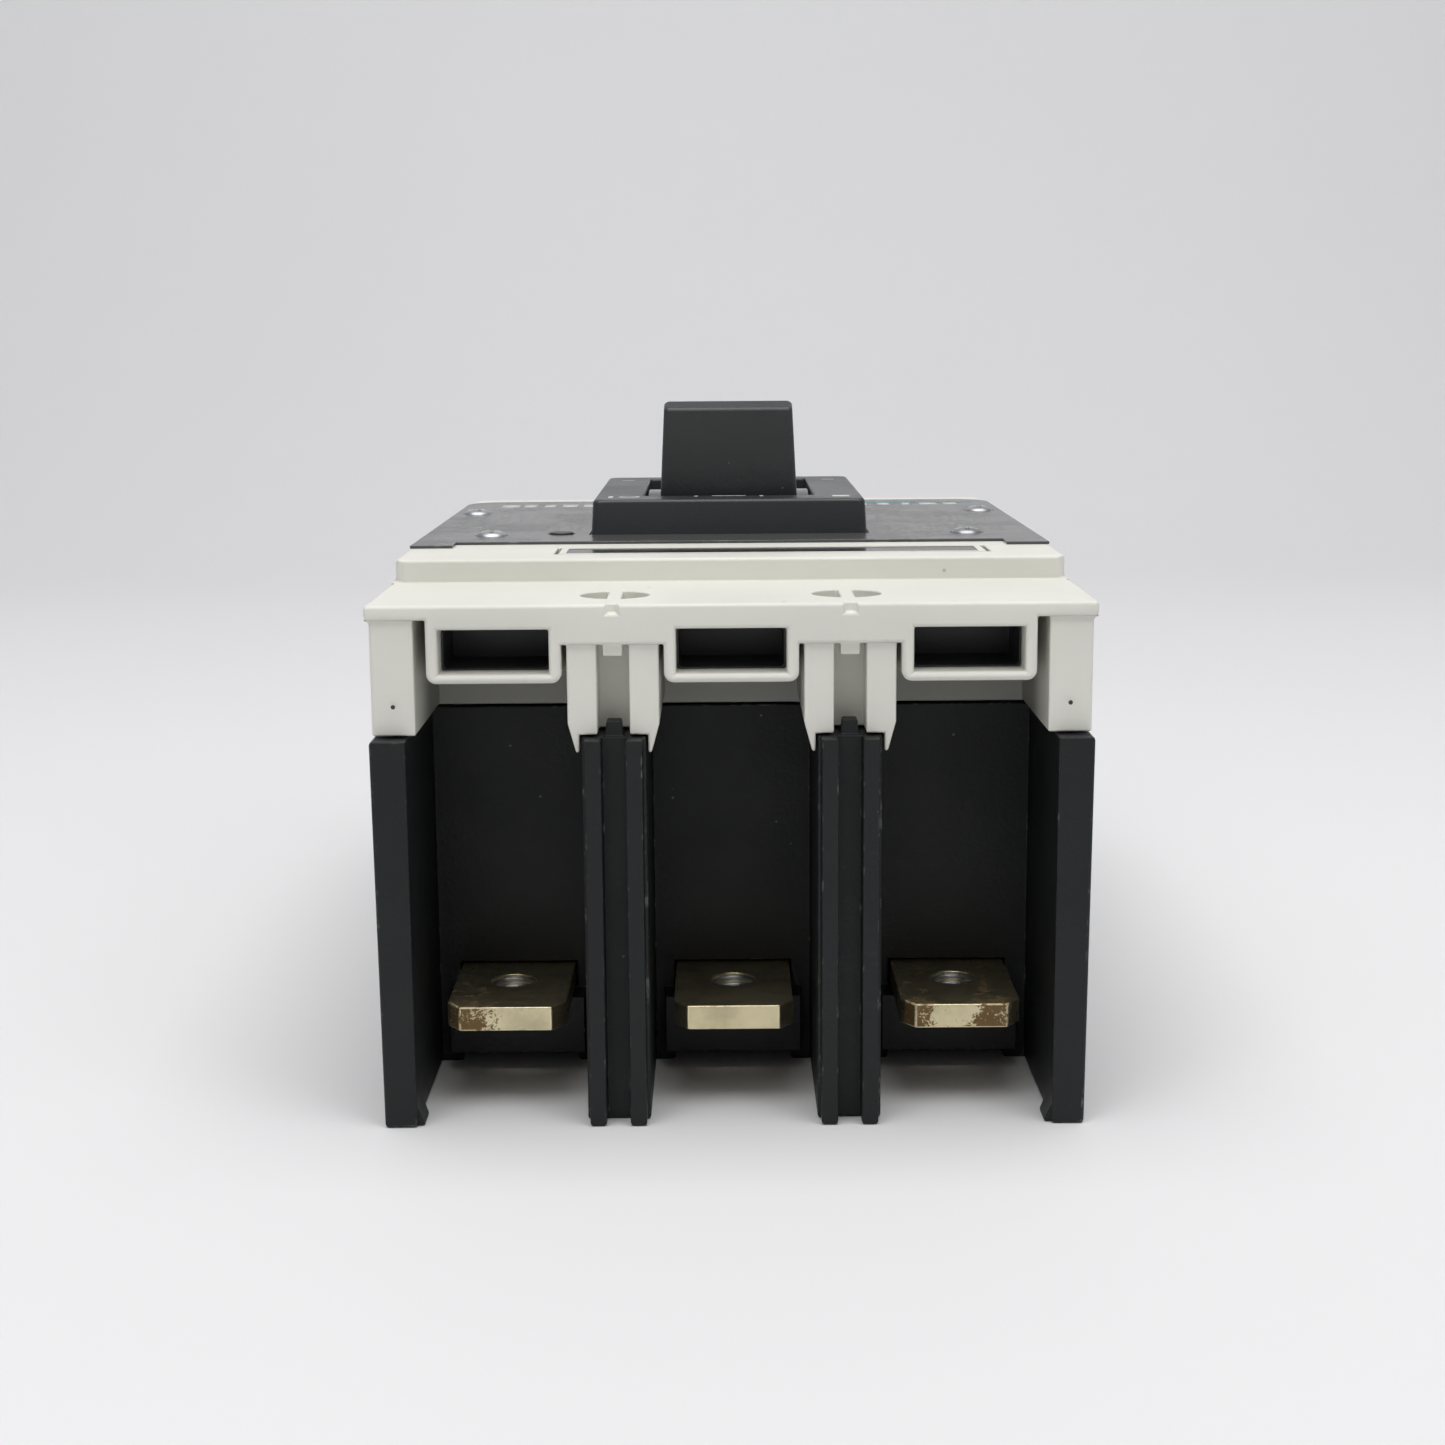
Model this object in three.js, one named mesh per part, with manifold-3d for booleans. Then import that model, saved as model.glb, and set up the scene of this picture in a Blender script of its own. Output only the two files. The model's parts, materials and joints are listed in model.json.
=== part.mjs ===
// Three-pole molded case circuit breaker, lying on its mounting face.
// Millimetres, +Z up from the mounting face to the toggle handle.
// X runs across the poles, -Y is the load end, +Y the line end, and the handle rests at OFF, towards -Y.
import * as THREE from 'three';
import { mergeVertices } from 'three/addons/utils/BufferGeometryUtils.js';
import Module from 'manifold-3d';

const wasm = await Module();
wasm.setup();

// ---- driving dimensions ----------------------------------------------------------------------
const LENGTH = 185;
const WIDTH = 106.8;
const POLE_PITCH = 35;
const BASE_TOP = 59.45;
const COVER_BOTTOM = 59.8;
const FLANGE_TOP = 79.35;
const COVER_TOP = 83.1;
const PLATE_BOTTOM = 83.3;
const PLATE_TOP = 83.8;
const ESCUTCHEON_TOP = 89.6;
const GAP = 0.3;

const END = LENGTH / 2;
const HALF = WIDTH / 2;
const POLES = [-POLE_PITCH, 0, POLE_PITCH];
const PARTITIONS = [-POLE_PITCH / 2, POLE_PITCH / 2];

// terminal compartments, measured in from each end face
const COMPARTMENT_DEPTH = 31.1;
const PARTITION_HALF = 4.8;
const RIB_HALF = 4.3;
const RIB_DEPTH = 3;
const GROOVE_HALF = 1.8;
const GROOVE_DEPTH = 3.5;
const SIDE_INNER = 48;
const FOOT = { width: 1.2, height: 5.5, front: 0.8, back: 6 };
const LEDGE = { half: 11, front: 25.6, bottom: 3.2, top: 12.55 };

// pole chambers inside the base
const CHAMBER_HALF = 15;
const CHAMBER_END = END - 33.6;
const FLOOR = 3;

// terminal bars
const BAR = {
  front: 7.2, half: 9.2, bottom: 12.9, top: 16.7, chamferX: 2.1, chamferY: 3, hole: 3.5, holeAt: 21.5,
};

// cover front
const COVER_SETBACK = 2.2;
const LOWER_STEP = 0.8;
const FLANGE_HALF = 53.9;
const PILLAR_INNER = 46.8;
const SKIRT_HALF = 44.95;
const SKIRT_BOTTOM = 73.3;
const FLANGE_BOTTOM = 77.05;
const TUNNEL = { outer: 9.95, inner: 8.15, bottom: 67.6, low: 69, high: 75.6, corner: 1.5 };
const FIN = { half: 6.8, channel: 2.4, depth: 9, lipInner: 5.1, tip: 57.1, chamferTop: 61.5, flat: 0.5 };
const TAB_BOTTOM = 71.5;
const MOUNT_HOLE = { inset: 14, recess: 5.25, bore: 2.4, strip: 1.1 };
const CAVITY_HALF = 50;
const CAVITY_END = END - 33.9;
const CAVITY_TOP = 80.6;

// window strip across the cover, between its front step and the faceplate
const WINDOW = { left: -28.5, right: 42.3, front: 38.2, back: 49.7, floor: 81.3, top: 82.7 };

// faceplate, measured in from the load end
const PLATE = { front: 54.7, tabFront: 49, back: 142.4, tabInner: 46.2, half: 53.3, corner: 7 };

// toggle handle
const PIVOT = { y: 5.35, z: 56 };
const REST_ANGLE = THREE.MathUtils.degToRad(21);
const SLOT = { half: 15.25, reach: 21.85 };
const ESCUTCHEON = { halfTop: 23.8, halfBottom: 24.1, front: 67, back: 126.4, draft: 0.35 };
const SHIELD = { outer: 33.1, inner: 31.6, half: 14.9, sweep: THREE.MathUtils.degToRad(62) };
const GRIP = {
  tip: 53.1, baseHalf: 12.85, tipHalf: 11.4, baseThick: 7.5, tipThick: 2, corner: 1.2, foot: 33.45,
};
const STEM = { half: 5, thick: 4, bottom: 26.4 };
const YOKE = { inner: 10.6, outer: 12, webLow: 24.5, webHigh: 26, legHalf: 4, bore: 2.8, boss: 2.5 };

// contact and toggle mechanism, as [y, z] points with the contacts open
const CROSSBAR = { y: -4, z: 28, radius: 7, half: 48 };
const OPEN_ANGLE = THREE.MathUtils.degToRad(24);
const LEVER = 14;
const LEVER_ANGLE = THREE.MathUtils.degToRad(44);
const LINK = 13.2;
const LINK_TOP = [4, 58];
const CRADLE_PIVOT = [22, 50];
const PIN = 1.5;
const PIN_BORE = 1.8;
const SPRING_TOP = 23.2;
const SIDE_PLATE = { inner: 13, outer: 14.4 };

// trip unit
const TRIP_AXIS = [-36, 64];
const BUTTON = { x: -29.4, y: 69.1 - END, radius: 2.1, bottom: 67.4 };
const UPRIGHT = { back: -49, front: -46, top: 46 };
const ARMATURE = { back: -38.6, front: -37, bottom: 23, top: 57 };

const SCREWS = [
  { name: 'cover_screw_front_left', x: -41.45, y: 66.9 - END },
  { name: 'cover_screw_front_right', x: 41.45, y: 66.9 - END },
  { name: 'cover_screw_back_left', x: -48.9, y: 113.6 - END },
  { name: 'cover_screw_back_right', x: 48.9, y: 113.6 - END },
];
const SCREW = { head: 2.6, headTop: 84.4, headBottom: 82.1, shank: 1.5, tip: 50, post: 3.6 };

// ---- materials -------------------------------------------------------------------------------
function finish(color, roughness, metalness) {
  return new THREE.MeshStandardMaterial({ color, roughness, metalness });
}

const blackMoulding = finish(0x2b2c2f, 0.6, 0);
const whiteMoulding = finish(0xdcdcd2, 0.55, 0);
const greyMoulding = finish(0x3a3b3c, 0.5, 0);
const glossMoulding = finish(0x303132, 0.25, 0);
const printedPlate = finish(0x55575a, 0.5, 0);
const tinnedBar = finish(0xb9ad86, 0.35, 0.9);
const copper = finish(0xb06a42, 0.35, 0.9);
const steel = finish(0x9fa2a5, 0.35, 0.9);
const insulation = finish(0x6d5f46, 0.7, 0);

// ---- solids ----------------------------------------------------------------------------------
function solid(geometry) {
  const bare = geometry.clone();
  bare.deleteAttribute('normal');
  bare.deleteAttribute('uv');
  const merged = mergeVertices(bare, 1e-4);
  const mesh = new wasm.Mesh({
    numProp: 3,
    vertProperties: new Float32Array(merged.attributes.position.array),
    triVerts: new Uint32Array(merged.index.array),
  });
  return new wasm.Manifold(mesh);
}

function box(x0, x1, y0, y1, z0, z1) {
  const geometry = new THREE.BoxGeometry(x1 - x0, y1 - y0, z1 - z0);
  geometry.translate((x0 + x1) / 2, (y0 + y1) / 2, (z0 + z1) / 2);
  return solid(geometry);
}

function outline(points) {
  return new THREE.Shape(points.map(([a, b]) => new THREE.Vector2(a, b)));
}

function roundedOutline(a0, a1, b0, b1, radius) {
  const shape = new THREE.Shape();
  shape.moveTo(a0 + radius, b0);
  shape.lineTo(a1 - radius, b0);
  shape.absarc(a1 - radius, b0 + radius, radius, -Math.PI / 2, 0);
  shape.absarc(a1 - radius, b1 - radius, radius, 0, Math.PI / 2);
  shape.absarc(a0 + radius, b1 - radius, radius, Math.PI / 2, Math.PI);
  shape.absarc(a0 + radius, b0 + radius, radius, Math.PI, 1.5 * Math.PI);
  return shape;
}

// An outline in the plane across the axis, extruded from one place on the axis to another.
function along(axis, shape, from, to, curveSegments = 4) {
  const options = { depth: to - from, bevelEnabled: false, curveSegments };
  const geometry = new THREE.ExtrudeGeometry(shape, options);
  if (axis === 'z') {
    geometry.translate(0, 0, from);
  }
  if (axis === 'y') {
    geometry.rotateX(Math.PI / 2);
    geometry.translate(0, to, 0);
  }
  if (axis === 'x') {
    const turn = new THREE.Matrix4().makeBasis(
      new THREE.Vector3(0, 1, 0),
      new THREE.Vector3(0, 0, 1),
      new THREE.Vector3(1, 0, 0),
    );
    geometry.applyMatrix4(turn);
    geometry.translate(from, 0, 0);
  }
  return solid(geometry);
}

function rodX(y, z, radius, x0, x1, segments = 14) {
  const geometry = new THREE.CylinderGeometry(radius, radius, x1 - x0, segments);
  geometry.rotateZ(Math.PI / 2);
  geometry.translate((x0 + x1) / 2, y, z);
  return solid(geometry);
}

function rodZ(x, y, radius, z0, z1, segments = 16) {
  const geometry = new THREE.CylinderGeometry(radius, radius, z1 - z0, segments);
  geometry.rotateX(Math.PI / 2);
  geometry.translate(x, y, (z0 + z1) / 2);
  return solid(geometry);
}

// A flat lever: a disc round each [y, z] point, joined by straight sides.
function lever(points, radius, x0, x1) {
  let shape = rodX(points[0][0], points[0][1], radius, x0, x1);
  for (let i = 1; i < points.length; i += 1) {
    const [ay, az] = points[i - 1];
    const [by, bz] = points[i];
    const run = Math.hypot(by - ay, bz - az);
    const sideY = (-(bz - az) / run) * radius;
    const sideZ = ((by - ay) / run) * radius;
    const strip = outline([
      [ay - sideY, az - sideZ],
      [by - sideY, bz - sideZ],
      [by + sideY, bz + sideZ],
      [ay + sideY, az + sideZ],
    ]);
    shape = shape.add(along('x', strip, x0, x1)).add(rodX(by, bz, radius, x0, x1));
  }
  return shape;
}

// A close-wound spring as a ribbed solid, standing from the origin up the Z axis.
function spring(radius, length, coils) {
  const pitch = length / coils;
  const profile = [new THREE.Vector2(0, 0)];
  for (let i = 0; i < coils; i += 1) {
    profile.push(new THREE.Vector2(radius * 0.8, i * pitch));
    profile.push(new THREE.Vector2(radius, (i + 0.5) * pitch));
  }
  profile.push(new THREE.Vector2(radius * 0.8, length));
  profile.push(new THREE.Vector2(0, length));
  return new THREE.LatheGeometry(profile, 10).rotateX(Math.PI / 2);
}

const assembly = new THREE.Group();

function add(name, body, material, parent = assembly) {
  const mesh = body.getMesh();
  const geometry = new THREE.BufferGeometry();
  geometry.setAttribute('position', new THREE.BufferAttribute(mesh.vertProperties, 3));
  geometry.setIndex(new THREE.BufferAttribute(mesh.triVerts, 1));
  geometry.computeVertexNormals();
  const node = new THREE.Mesh(geometry, material);
  node.name = name;
  parent.add(node);
  return node;
}

// ---- base ------------------------------------------------------------------------------------
// side: -1 for the load end, 1 for the line end; depths run inwards from the end face.
function endBox(side, x0, x1, near, far, z0, z1) {
  const a = side * (END - near);
  const b = side * (END - far);
  return box(x0, x1, Math.min(a, b), Math.max(a, b), z0, z1);
}

function compartmentCuts(side) {
  const tall = [-1, BASE_TOP + 3];
  const step = PARTITION_HALF;
  const inner = POLE_PITCH / 2;
  let cut = endBox(side, -inner + step, inner - step, -1, COMPARTMENT_DEPTH, ...tall);
  for (const hand of [-1, 1]) {
    const xs = [hand * (inner + step), hand * SIDE_INNER].sort((a, b) => a - b);
    cut = cut.add(endBox(side, xs[0], xs[1], -1, COMPARTMENT_DEPTH, ...tall));
  }
  for (const x of PARTITIONS) {
    cut = cut.add(endBox(side, x - GROOVE_HALF, x + GROOVE_HALF, -1, GROOVE_DEPTH, ...tall));
    cut = cut.add(endBox(side, x - step - 1, x - RIB_HALF, -1, RIB_DEPTH, ...tall));
    cut = cut.add(endBox(side, x + RIB_HALF, x + step + 1, -1, RIB_DEPTH, ...tall));
    cut = cut.add(rodZ(x, side * (END - MOUNT_HOLE.inset), MOUNT_HOLE.bore, -1, BASE_TOP + 3));
  }
  for (const x of POLES) {
    const bar = BAR.half + GAP;
    const wall = COMPARTMENT_DEPTH;
    cut = cut.add(endBox(side, x - bar, x + bar, wall - 1, wall + 5, BAR.bottom - GAP, BAR.top + GAP));
    cut = cut.add(endBox(side, x - bar, x + bar, wall - 1, wall + 12, -1, 1.8));
  }
  return cut;
}

function terminalLedges(side) {
  const { half, front, bottom, top } = LEDGE;
  const back = COMPARTMENT_DEPTH + 1;
  const ledges = POLES.map((x) => endBox(side, x - half, x + half, front, back, bottom, top));
  return ledges.reduce((all, one) => all.add(one));
}

function wallFoot(hand, side) {
  const wall = hand * (SIDE_INNER + 1);
  const toe = hand * (SIDE_INNER - FOOT.width);
  const points = [[toe, 0], [wall, 0], [wall, FOOT.height]];
  const ys = [side * (END - FOOT.front), side * (END - FOOT.back)];
  return along('y', outline(hand > 0 ? points : points.reverse()), Math.min(...ys), Math.max(...ys));
}

function peg(x, side) {
  const y = side * (END - 5.2);
  const shape = outline([[x - 1.5, BASE_TOP - 1], [x + 1.5, BASE_TOP - 1], [x + 1.1, BASE_TOP + 2.3],
    [x - 1.1, BASE_TOP + 2.3]]);
  return along('y', shape, y - 1.4, y + 1.4);
}

function makeBase() {
  const bottomHalf = HALF - 0.5;
  const section = outline([[-bottomHalf, 0], [bottomHalf, 0], [HALF, BASE_TOP], [-HALF, BASE_TOP]]);
  let body = along('y', section, -END, END);
  for (const side of [-1, 1]) {
    body = body.subtract(compartmentCuts(side)).add(terminalLedges(side));
    body = body.add(wallFoot(-1, side)).add(wallFoot(1, side));
  }
  for (const x of POLES) {
    body = body.subtract(
      box(x - CHAMBER_HALF, x + CHAMBER_HALF, -CHAMBER_END, CHAMBER_END, FLOOR, BASE_TOP + 1),
    );
  }
  for (const x of PARTITIONS) {
    body = body.subtract(box(x - 3, x + 3, CROSSBAR.y - 8.5, CROSSBAR.y + 8.5, 19, BASE_TOP + 1));
    body = body.add(peg(x, -1)).add(peg(x, 1));
  }
  for (const { x, y } of SCREWS) {
    const post = rodZ(x, y, SCREW.post, FLOOR - 1, BASE_TOP);
    const bore = rodZ(x, y, SCREW.shank + GAP, SCREW.tip - 2, BASE_TOP + 1);
    body = body.add(post).subtract(bore);
  }
  add('base', body, blackMoulding);
}

// ---- cover -----------------------------------------------------------------------------------
function coverEnd(side) {
  const back = COMPARTMENT_DEPTH + 1;
  const setback = COVER_SETBACK;
  const lower = setback + LOWER_STEP;
  let body = endBox(side, -FLANGE_HALF, FLANGE_HALF, setback, back, FLANGE_BOTTOM, FLANGE_TOP);
  for (const hand of [-1, 1]) {
    const xs = [hand * PILLAR_INNER, hand * (HALF - 0.1)].sort((a, b) => a - b);
    body = body.add(endBox(side, xs[0], xs[1], lower, back, COVER_BOTTOM, FLANGE_BOTTOM + 1));
  }
  body = body.add(endBox(side, -SKIRT_HALF, SKIRT_HALF, setback, setback + 2, SKIRT_BOTTOM, FLANGE_TOP));
  for (const x of PARTITIONS) {
    body = body.add(finBlock(x, side));
  }
  for (const x of POLES) {
    body = body.add(tunnelBox(x, side));
  }
  return body;
}

function finBlock(x, side) {
  const { half, lipInner, tip, chamferTop, flat } = FIN;
  const section = outline([
    [x - half, FLANGE_BOTTOM + 1], [x - half, chamferTop], [x - lipInner - flat, tip], [x - lipInner, tip],
    [x - lipInner, COVER_BOTTOM], [x + lipInner, COVER_BOTTOM], [x + lipInner, tip],
    [x + lipInner + flat, tip], [x + half, chamferTop], [x + half, FLANGE_BOTTOM + 1],
  ]);
  const front = side * (END - COVER_SETBACK - LOWER_STEP);
  const back = side * (END - COMPARTMENT_DEPTH - 1);
  const block = along('y', section, Math.min(front, back), Math.max(front, back));
  const lipEnd = endBox(side, x - half - 1, x + half + 1, COMPARTMENT_DEPTH - GAP, 40, tip - 1, COVER_BOTTOM);
  const channel = endBox(side, x - FIN.channel, x + FIN.channel, 0, FIN.depth, tip - 1, SKIRT_BOTTOM);
  const tabFront = COVER_SETBACK + 1.2;
  const tab = endBox(side, x - 1.45, x + 1.45, tabFront, tabFront + 2.8, TAB_BOTTOM, SKIRT_BOTTOM + 1);
  return block.subtract(lipEnd).subtract(channel).add(tab);
}

function tunnelBox(x, side) {
  const { outer, bottom, corner } = TUNNEL;
  const front = side * (END - COVER_SETBACK);
  const back = side * (END - COMPARTMENT_DEPTH - 1);
  const shape = roundedOutline(x - outer, x + outer, bottom, FLANGE_BOTTOM + 2, corner);
  return along('y', shape, Math.min(front, back), Math.max(front, back));
}

function tunnelCuts(side) {
  const { inner, low, high } = TUNNEL;
  const cuts = POLES.map((x) => endBox(side, x - inner, x + inner, -1, COMPARTMENT_DEPTH + 4, low, high));
  return cuts.reduce((all, one) => all.add(one));
}

function mountRecesses(side) {
  const y = side * (END - MOUNT_HOLE.inset);
  const cuts = PARTITIONS.map((x) => {
    const bar = MOUNT_HOLE.strip;
    const strip = box(x - bar, x + bar, y - 10, y + 10, SKIRT_BOTTOM, FLANGE_TOP + 1);
    const recess = rodZ(x, y, MOUNT_HOLE.recess, FLANGE_TOP - 4, FLANGE_TOP + 1, 24).subtract(strip);
    const bore = rodZ(x, y, MOUNT_HOLE.bore, FIN.tip - 1, FLANGE_TOP - 3);
    const notch = endBox(side, x - 0.8, x + 0.8, 0, COVER_SETBACK + 1.2, FLANGE_TOP - 1.4, FLANGE_TOP + 1);
    return recess.add(notch).add(bore);
  });
  return cuts.reduce((all, one) => all.add(one));
}

function makeCover() {
  const raised = END - COMPARTMENT_DEPTH;
  let body = box(-HALF + 0.1, HALF - 0.1, -raised, raised, COVER_BOTTOM, COVER_TOP);
  body = body.subtract(box(-CAVITY_HALF, CAVITY_HALF, -CAVITY_END, CAVITY_END, COVER_BOTTOM - 1, CAVITY_TOP));
  for (const side of [-1, 1]) {
    const inside = box(-CAVITY_HALF, CAVITY_HALF, -CAVITY_END, CAVITY_END, COVER_BOTTOM - 3, CAVITY_TOP);
    body = body.add(coverEnd(side).subtract(inside));
    body = body.subtract(tunnelCuts(side)).subtract(mountRecesses(side));
  }
  for (const { x, y } of SCREWS) {
    body = body.add(rodZ(x, y, SCREW.post, COVER_BOTTOM, COVER_TOP - 1));
    body = body.subtract(rodZ(x, y, SCREW.shank + GAP, COVER_BOTTOM - 1, COVER_TOP + 1));
    body = body.subtract(rodZ(x, y, SCREW.head + GAP, SCREW.headBottom - GAP, COVER_TOP + 1));
  }
  const { left, right, front, back, floor } = WINDOW;
  body = body.subtract(box(left, right, front - END, back - END, floor, COVER_TOP + 1));
  const slotX = SLOT.half + 0.15;
  const slotY = SLOT.reach + 1.35;
  body = body.subtract(box(-slotX, slotX, PIVOT.y - slotY, PIVOT.y + slotY, CAVITY_TOP - 1, COVER_TOP + 1));
  body = body.subtract(rodZ(BUTTON.x, BUTTON.y, BUTTON.radius + GAP, CAVITY_TOP - 1, COVER_TOP + 1));
  add('cover', body, whiteMoulding);
}

// ---- front pieces ----------------------------------------------------------------------------
function faceplateOutline() {
  const { front, tabFront, back, tabInner, half, corner } = PLATE;
  const shape = new THREE.Shape();
  shape.moveTo(-half, tabFront - END);
  shape.lineTo(-tabInner, tabFront - END);
  shape.lineTo(-tabInner, front - END);
  shape.lineTo(tabInner, front - END);
  shape.lineTo(tabInner, tabFront - END);
  shape.lineTo(half, tabFront - END);
  shape.absarc(half - corner, back - corner - END, corner, 0, Math.PI / 2);
  shape.absarc(-half + corner, back - corner - END, corner, Math.PI / 2, Math.PI);
  return shape;
}

function makeFaceplate() {
  const { halfBottom, front, back } = ESCUTCHEON;
  const side = halfBottom + GAP;
  let body = along('z', faceplateOutline(), PLATE_BOTTOM, PLATE_TOP, 8);
  body = body.subtract(box(-side, side, front - END - GAP, back - END + GAP, COVER_TOP, PLATE_TOP + 1));
  for (const { x, y } of SCREWS) {
    body = body.subtract(rodZ(x, y, SCREW.head + GAP, COVER_TOP, PLATE_TOP + 1));
  }
  body = body.subtract(rodZ(BUTTON.x, BUTTON.y, BUTTON.radius + GAP, COVER_TOP, PLATE_TOP + 1));
  add('faceplate', body, printedPlate);
}

function makeStripWindow() {
  const { left, right, front, back, floor, top } = WINDOW;
  const body = box(left + GAP, right - GAP, front - END + GAP, back - END - GAP, floor + GAP, top);
  add('strip_window', body, glossMoulding);
}

function makeEscutcheon() {
  const { halfTop, halfBottom, front, back, draft } = ESCUTCHEON;
  const y0 = front - END;
  const y1 = back - END;
  const low = PLATE_BOTTOM;
  const high = ESCUTCHEON_TOP;
  const across = outline([[-halfBottom, low], [halfBottom, low], [halfTop, high], [-halfTop, high]]);
  const lengthwise = outline([[y0, low], [y1, low], [y1 - draft, high], [y0 + draft, high]]);
  let body = along('y', across, y0, y1).intersect(along('x', lengthwise, -halfBottom, halfBottom));
  body = body.intersect(along('z', roundedOutline(-halfBottom, halfBottom, y0, y1, 1.5), low, high));
  const { half, reach } = SLOT;
  body = body.subtract(box(-half, half, PIVOT.y - reach, PIVOT.y + reach, low - 1, high + 1));
  add('escutcheon', body, greyMoulding);
}

function makeScrews() {
  for (const { name, x, y } of SCREWS) {
    const { head, headTop, headBottom, shank, tip } = SCREW;
    let body = rodZ(x, y, head, headBottom, headTop, 18).add(rodZ(x, y, shank, tip, headBottom + 0.5, 12));
    for (const [a, b] of [[1.7, 0.4], [0.4, 1.7]]) {
      body = body.subtract(box(x - a, x + a, y - b, y + b, headTop - 0.9, headTop + 1));
    }
    add(name, body, steel);
  }
}

// ---- handle, modelled upright on its pivot and then leant to OFF -------------------------------
const handle = new THREE.Group();
handle.position.set(0, PIVOT.y, PIVOT.z);
handle.rotation.x = REST_ANGLE;
assembly.add(handle);

function makeGrip() {
  const { tip, baseHalf, tipHalf, baseThick, tipThick, corner, foot } = GRIP;
  const front = new THREE.Shape();
  front.moveTo(-baseHalf, STEM.bottom);
  front.lineTo(baseHalf, STEM.bottom);
  front.lineTo(tipHalf, tip - corner);
  front.absarc(tipHalf - corner, tip - corner, corner, 0, Math.PI / 2);
  front.absarc(-tipHalf + corner, tip - corner, corner, Math.PI / 2, Math.PI);
  const side = new THREE.Shape();
  side.moveTo(-baseThick, STEM.bottom);
  side.lineTo(baseThick, STEM.bottom);
  side.lineTo(baseThick, foot);
  const round = 1.2;
  side.lineTo(tipThick, tip - round);
  side.absarc(tipThick - round, tip - round, round, 0, Math.PI / 2);
  side.absarc(-tipThick + round, tip - round, round, Math.PI / 2, Math.PI);
  side.lineTo(-baseThick, foot);
  const knob = along('y', front, -10, 10).intersect(along('x', side, -baseHalf, baseHalf));
  const hollow = rodX(0, 0, foot, -20, 20, 96);
  const stem = box(-STEM.half, STEM.half, -STEM.thick, STEM.thick, STEM.bottom, foot + 2);
  add('handle_grip', knob.subtract(hollow).add(stem), greyMoulding, handle);
}

function arc(radius, from, to, steps) {
  const points = [];
  for (let i = 0; i <= steps; i += 1) {
    const angle = from + ((to - from) * i) / steps;
    points.push([radius * Math.sin(angle), radius * Math.cos(angle)]);
  }
  return points;
}

function makeShield() {
  const { outer, inner, half, sweep } = SHIELD;
  const points = arc(outer, sweep, -sweep, 28).concat(arc(inner, -sweep, sweep, 28));
  const hole = box(-STEM.half - GAP, STEM.half + GAP, -STEM.thick - GAP, STEM.thick + GAP, 20, 40);
  add('slot_shield', along('x', outline(points), -half, half).subtract(hole), glossMoulding, handle);
}

function makeYoke() {
  const { inner, outer, webLow, webHigh, legHalf, bore } = YOKE;
  let body = box(-outer, outer, -legHalf, legHalf, webLow, webHigh);
  for (const hand of [-1, 1]) {
    const xs = [hand * inner, hand * outer].sort((a, b) => a - b);
    body = body.add(box(xs[0], xs[1], -legHalf, legHalf, 0, webHigh));
    body = body.add(rodX(0, 0, legHalf, xs[0], xs[1])).subtract(rodX(0, 0, bore, xs[0] - 1, xs[1] + 1));
  }
  add('handle_yoke', body, steel, handle);
}

// ---- toggle mechanism --------------------------------------------------------------------------
function polar(point, length, angle) {
  return [point[0] + length * Math.cos(angle), point[1] + length * Math.sin(angle)];
}

// Where two links of one length meet, on the load side of the line between their far ends.
function kneeBetween(top, bottom) {
  const run = Math.hypot(bottom[0] - top[0], bottom[1] - top[1]);
  const rise = Math.sqrt(LINK ** 2 - (run / 2) ** 2);
  const unit = [(bottom[0] - top[0]) / run, (bottom[1] - top[1]) / run];
  return [
    (top[0] + bottom[0]) / 2 + unit[1] * rise,
    (top[1] + bottom[1]) / 2 - unit[0] * rise,
  ];
}

const LEVER_END = polar([CROSSBAR.y, CROSSBAR.z], LEVER, LEVER_ANGLE);
const KNEE = kneeBetween(LINK_TOP, LEVER_END);

function makeSidePlates() {
  const { inner, outer } = SIDE_PLATE;
  for (const [name, hand] of [['side_plate_left', -1], ['side_plate_right', 1]]) {
    const xs = [hand * inner, hand * outer].sort((a, b) => a - b);
    const sheet = outline([[-20, FLOOR + GAP], [-13, FLOOR + GAP], [-13, 37], [5, 37], [5, FLOOR + GAP],
      [12, FLOOR + GAP], [12, 30], [28, 44], [28, 56], [18, 64], [-12, 64], [-20, 56]]);
    let body = along('x', sheet, xs[0], xs[1]);
    body = body.subtract(rodX(CRADLE_PIVOT[0], CRADLE_PIVOT[1], 2.3, xs[0] - 1, xs[1] + 1));
    const boss = [hand * (YOKE.inner - GAP), hand * (inner + 0.5)].sort((a, b) => a - b);
    body = body.add(rodX(PIVOT.y, PIVOT.z, YOKE.boss, boss[0], boss[1]));
    add(name, body, steel);
  }
}

function makeCradle() {
  const [uy, uz] = LINK_TOP;
  const [ky, kz] = CRADLE_PIVOT;
  const sheet = outline([[ky - 3, kz - 4], [ky + 4, kz - 2], [ky + 4, kz + 4], [uy + 4, uz + 4.5],
    [uy - 4, uz + 4.5], [-18, 54.5], [-24, 54.5], [-24, 51], [-12, 51], [uy, 52]]);
  const slot = along('x', roundedOutline(uy - 2.2, uy + 2.2, uz - 4.4, uz + 3, 2), -8, 8);
  let body = along('x', sheet, 5.8, 7).add(along('x', sheet, -7, -5.8));
  body = body.subtract(slot);
  body = body.add(box(-7, 7, -24, -19, 51, 54.5));
  body = body.subtract(rodX(ky, kz, 2.3, -8, 8));
  add('cradle', body, steel);
  add('cradle_pin', rodX(ky, kz, 2, -14.7, 14.7), steel);
}

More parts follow.
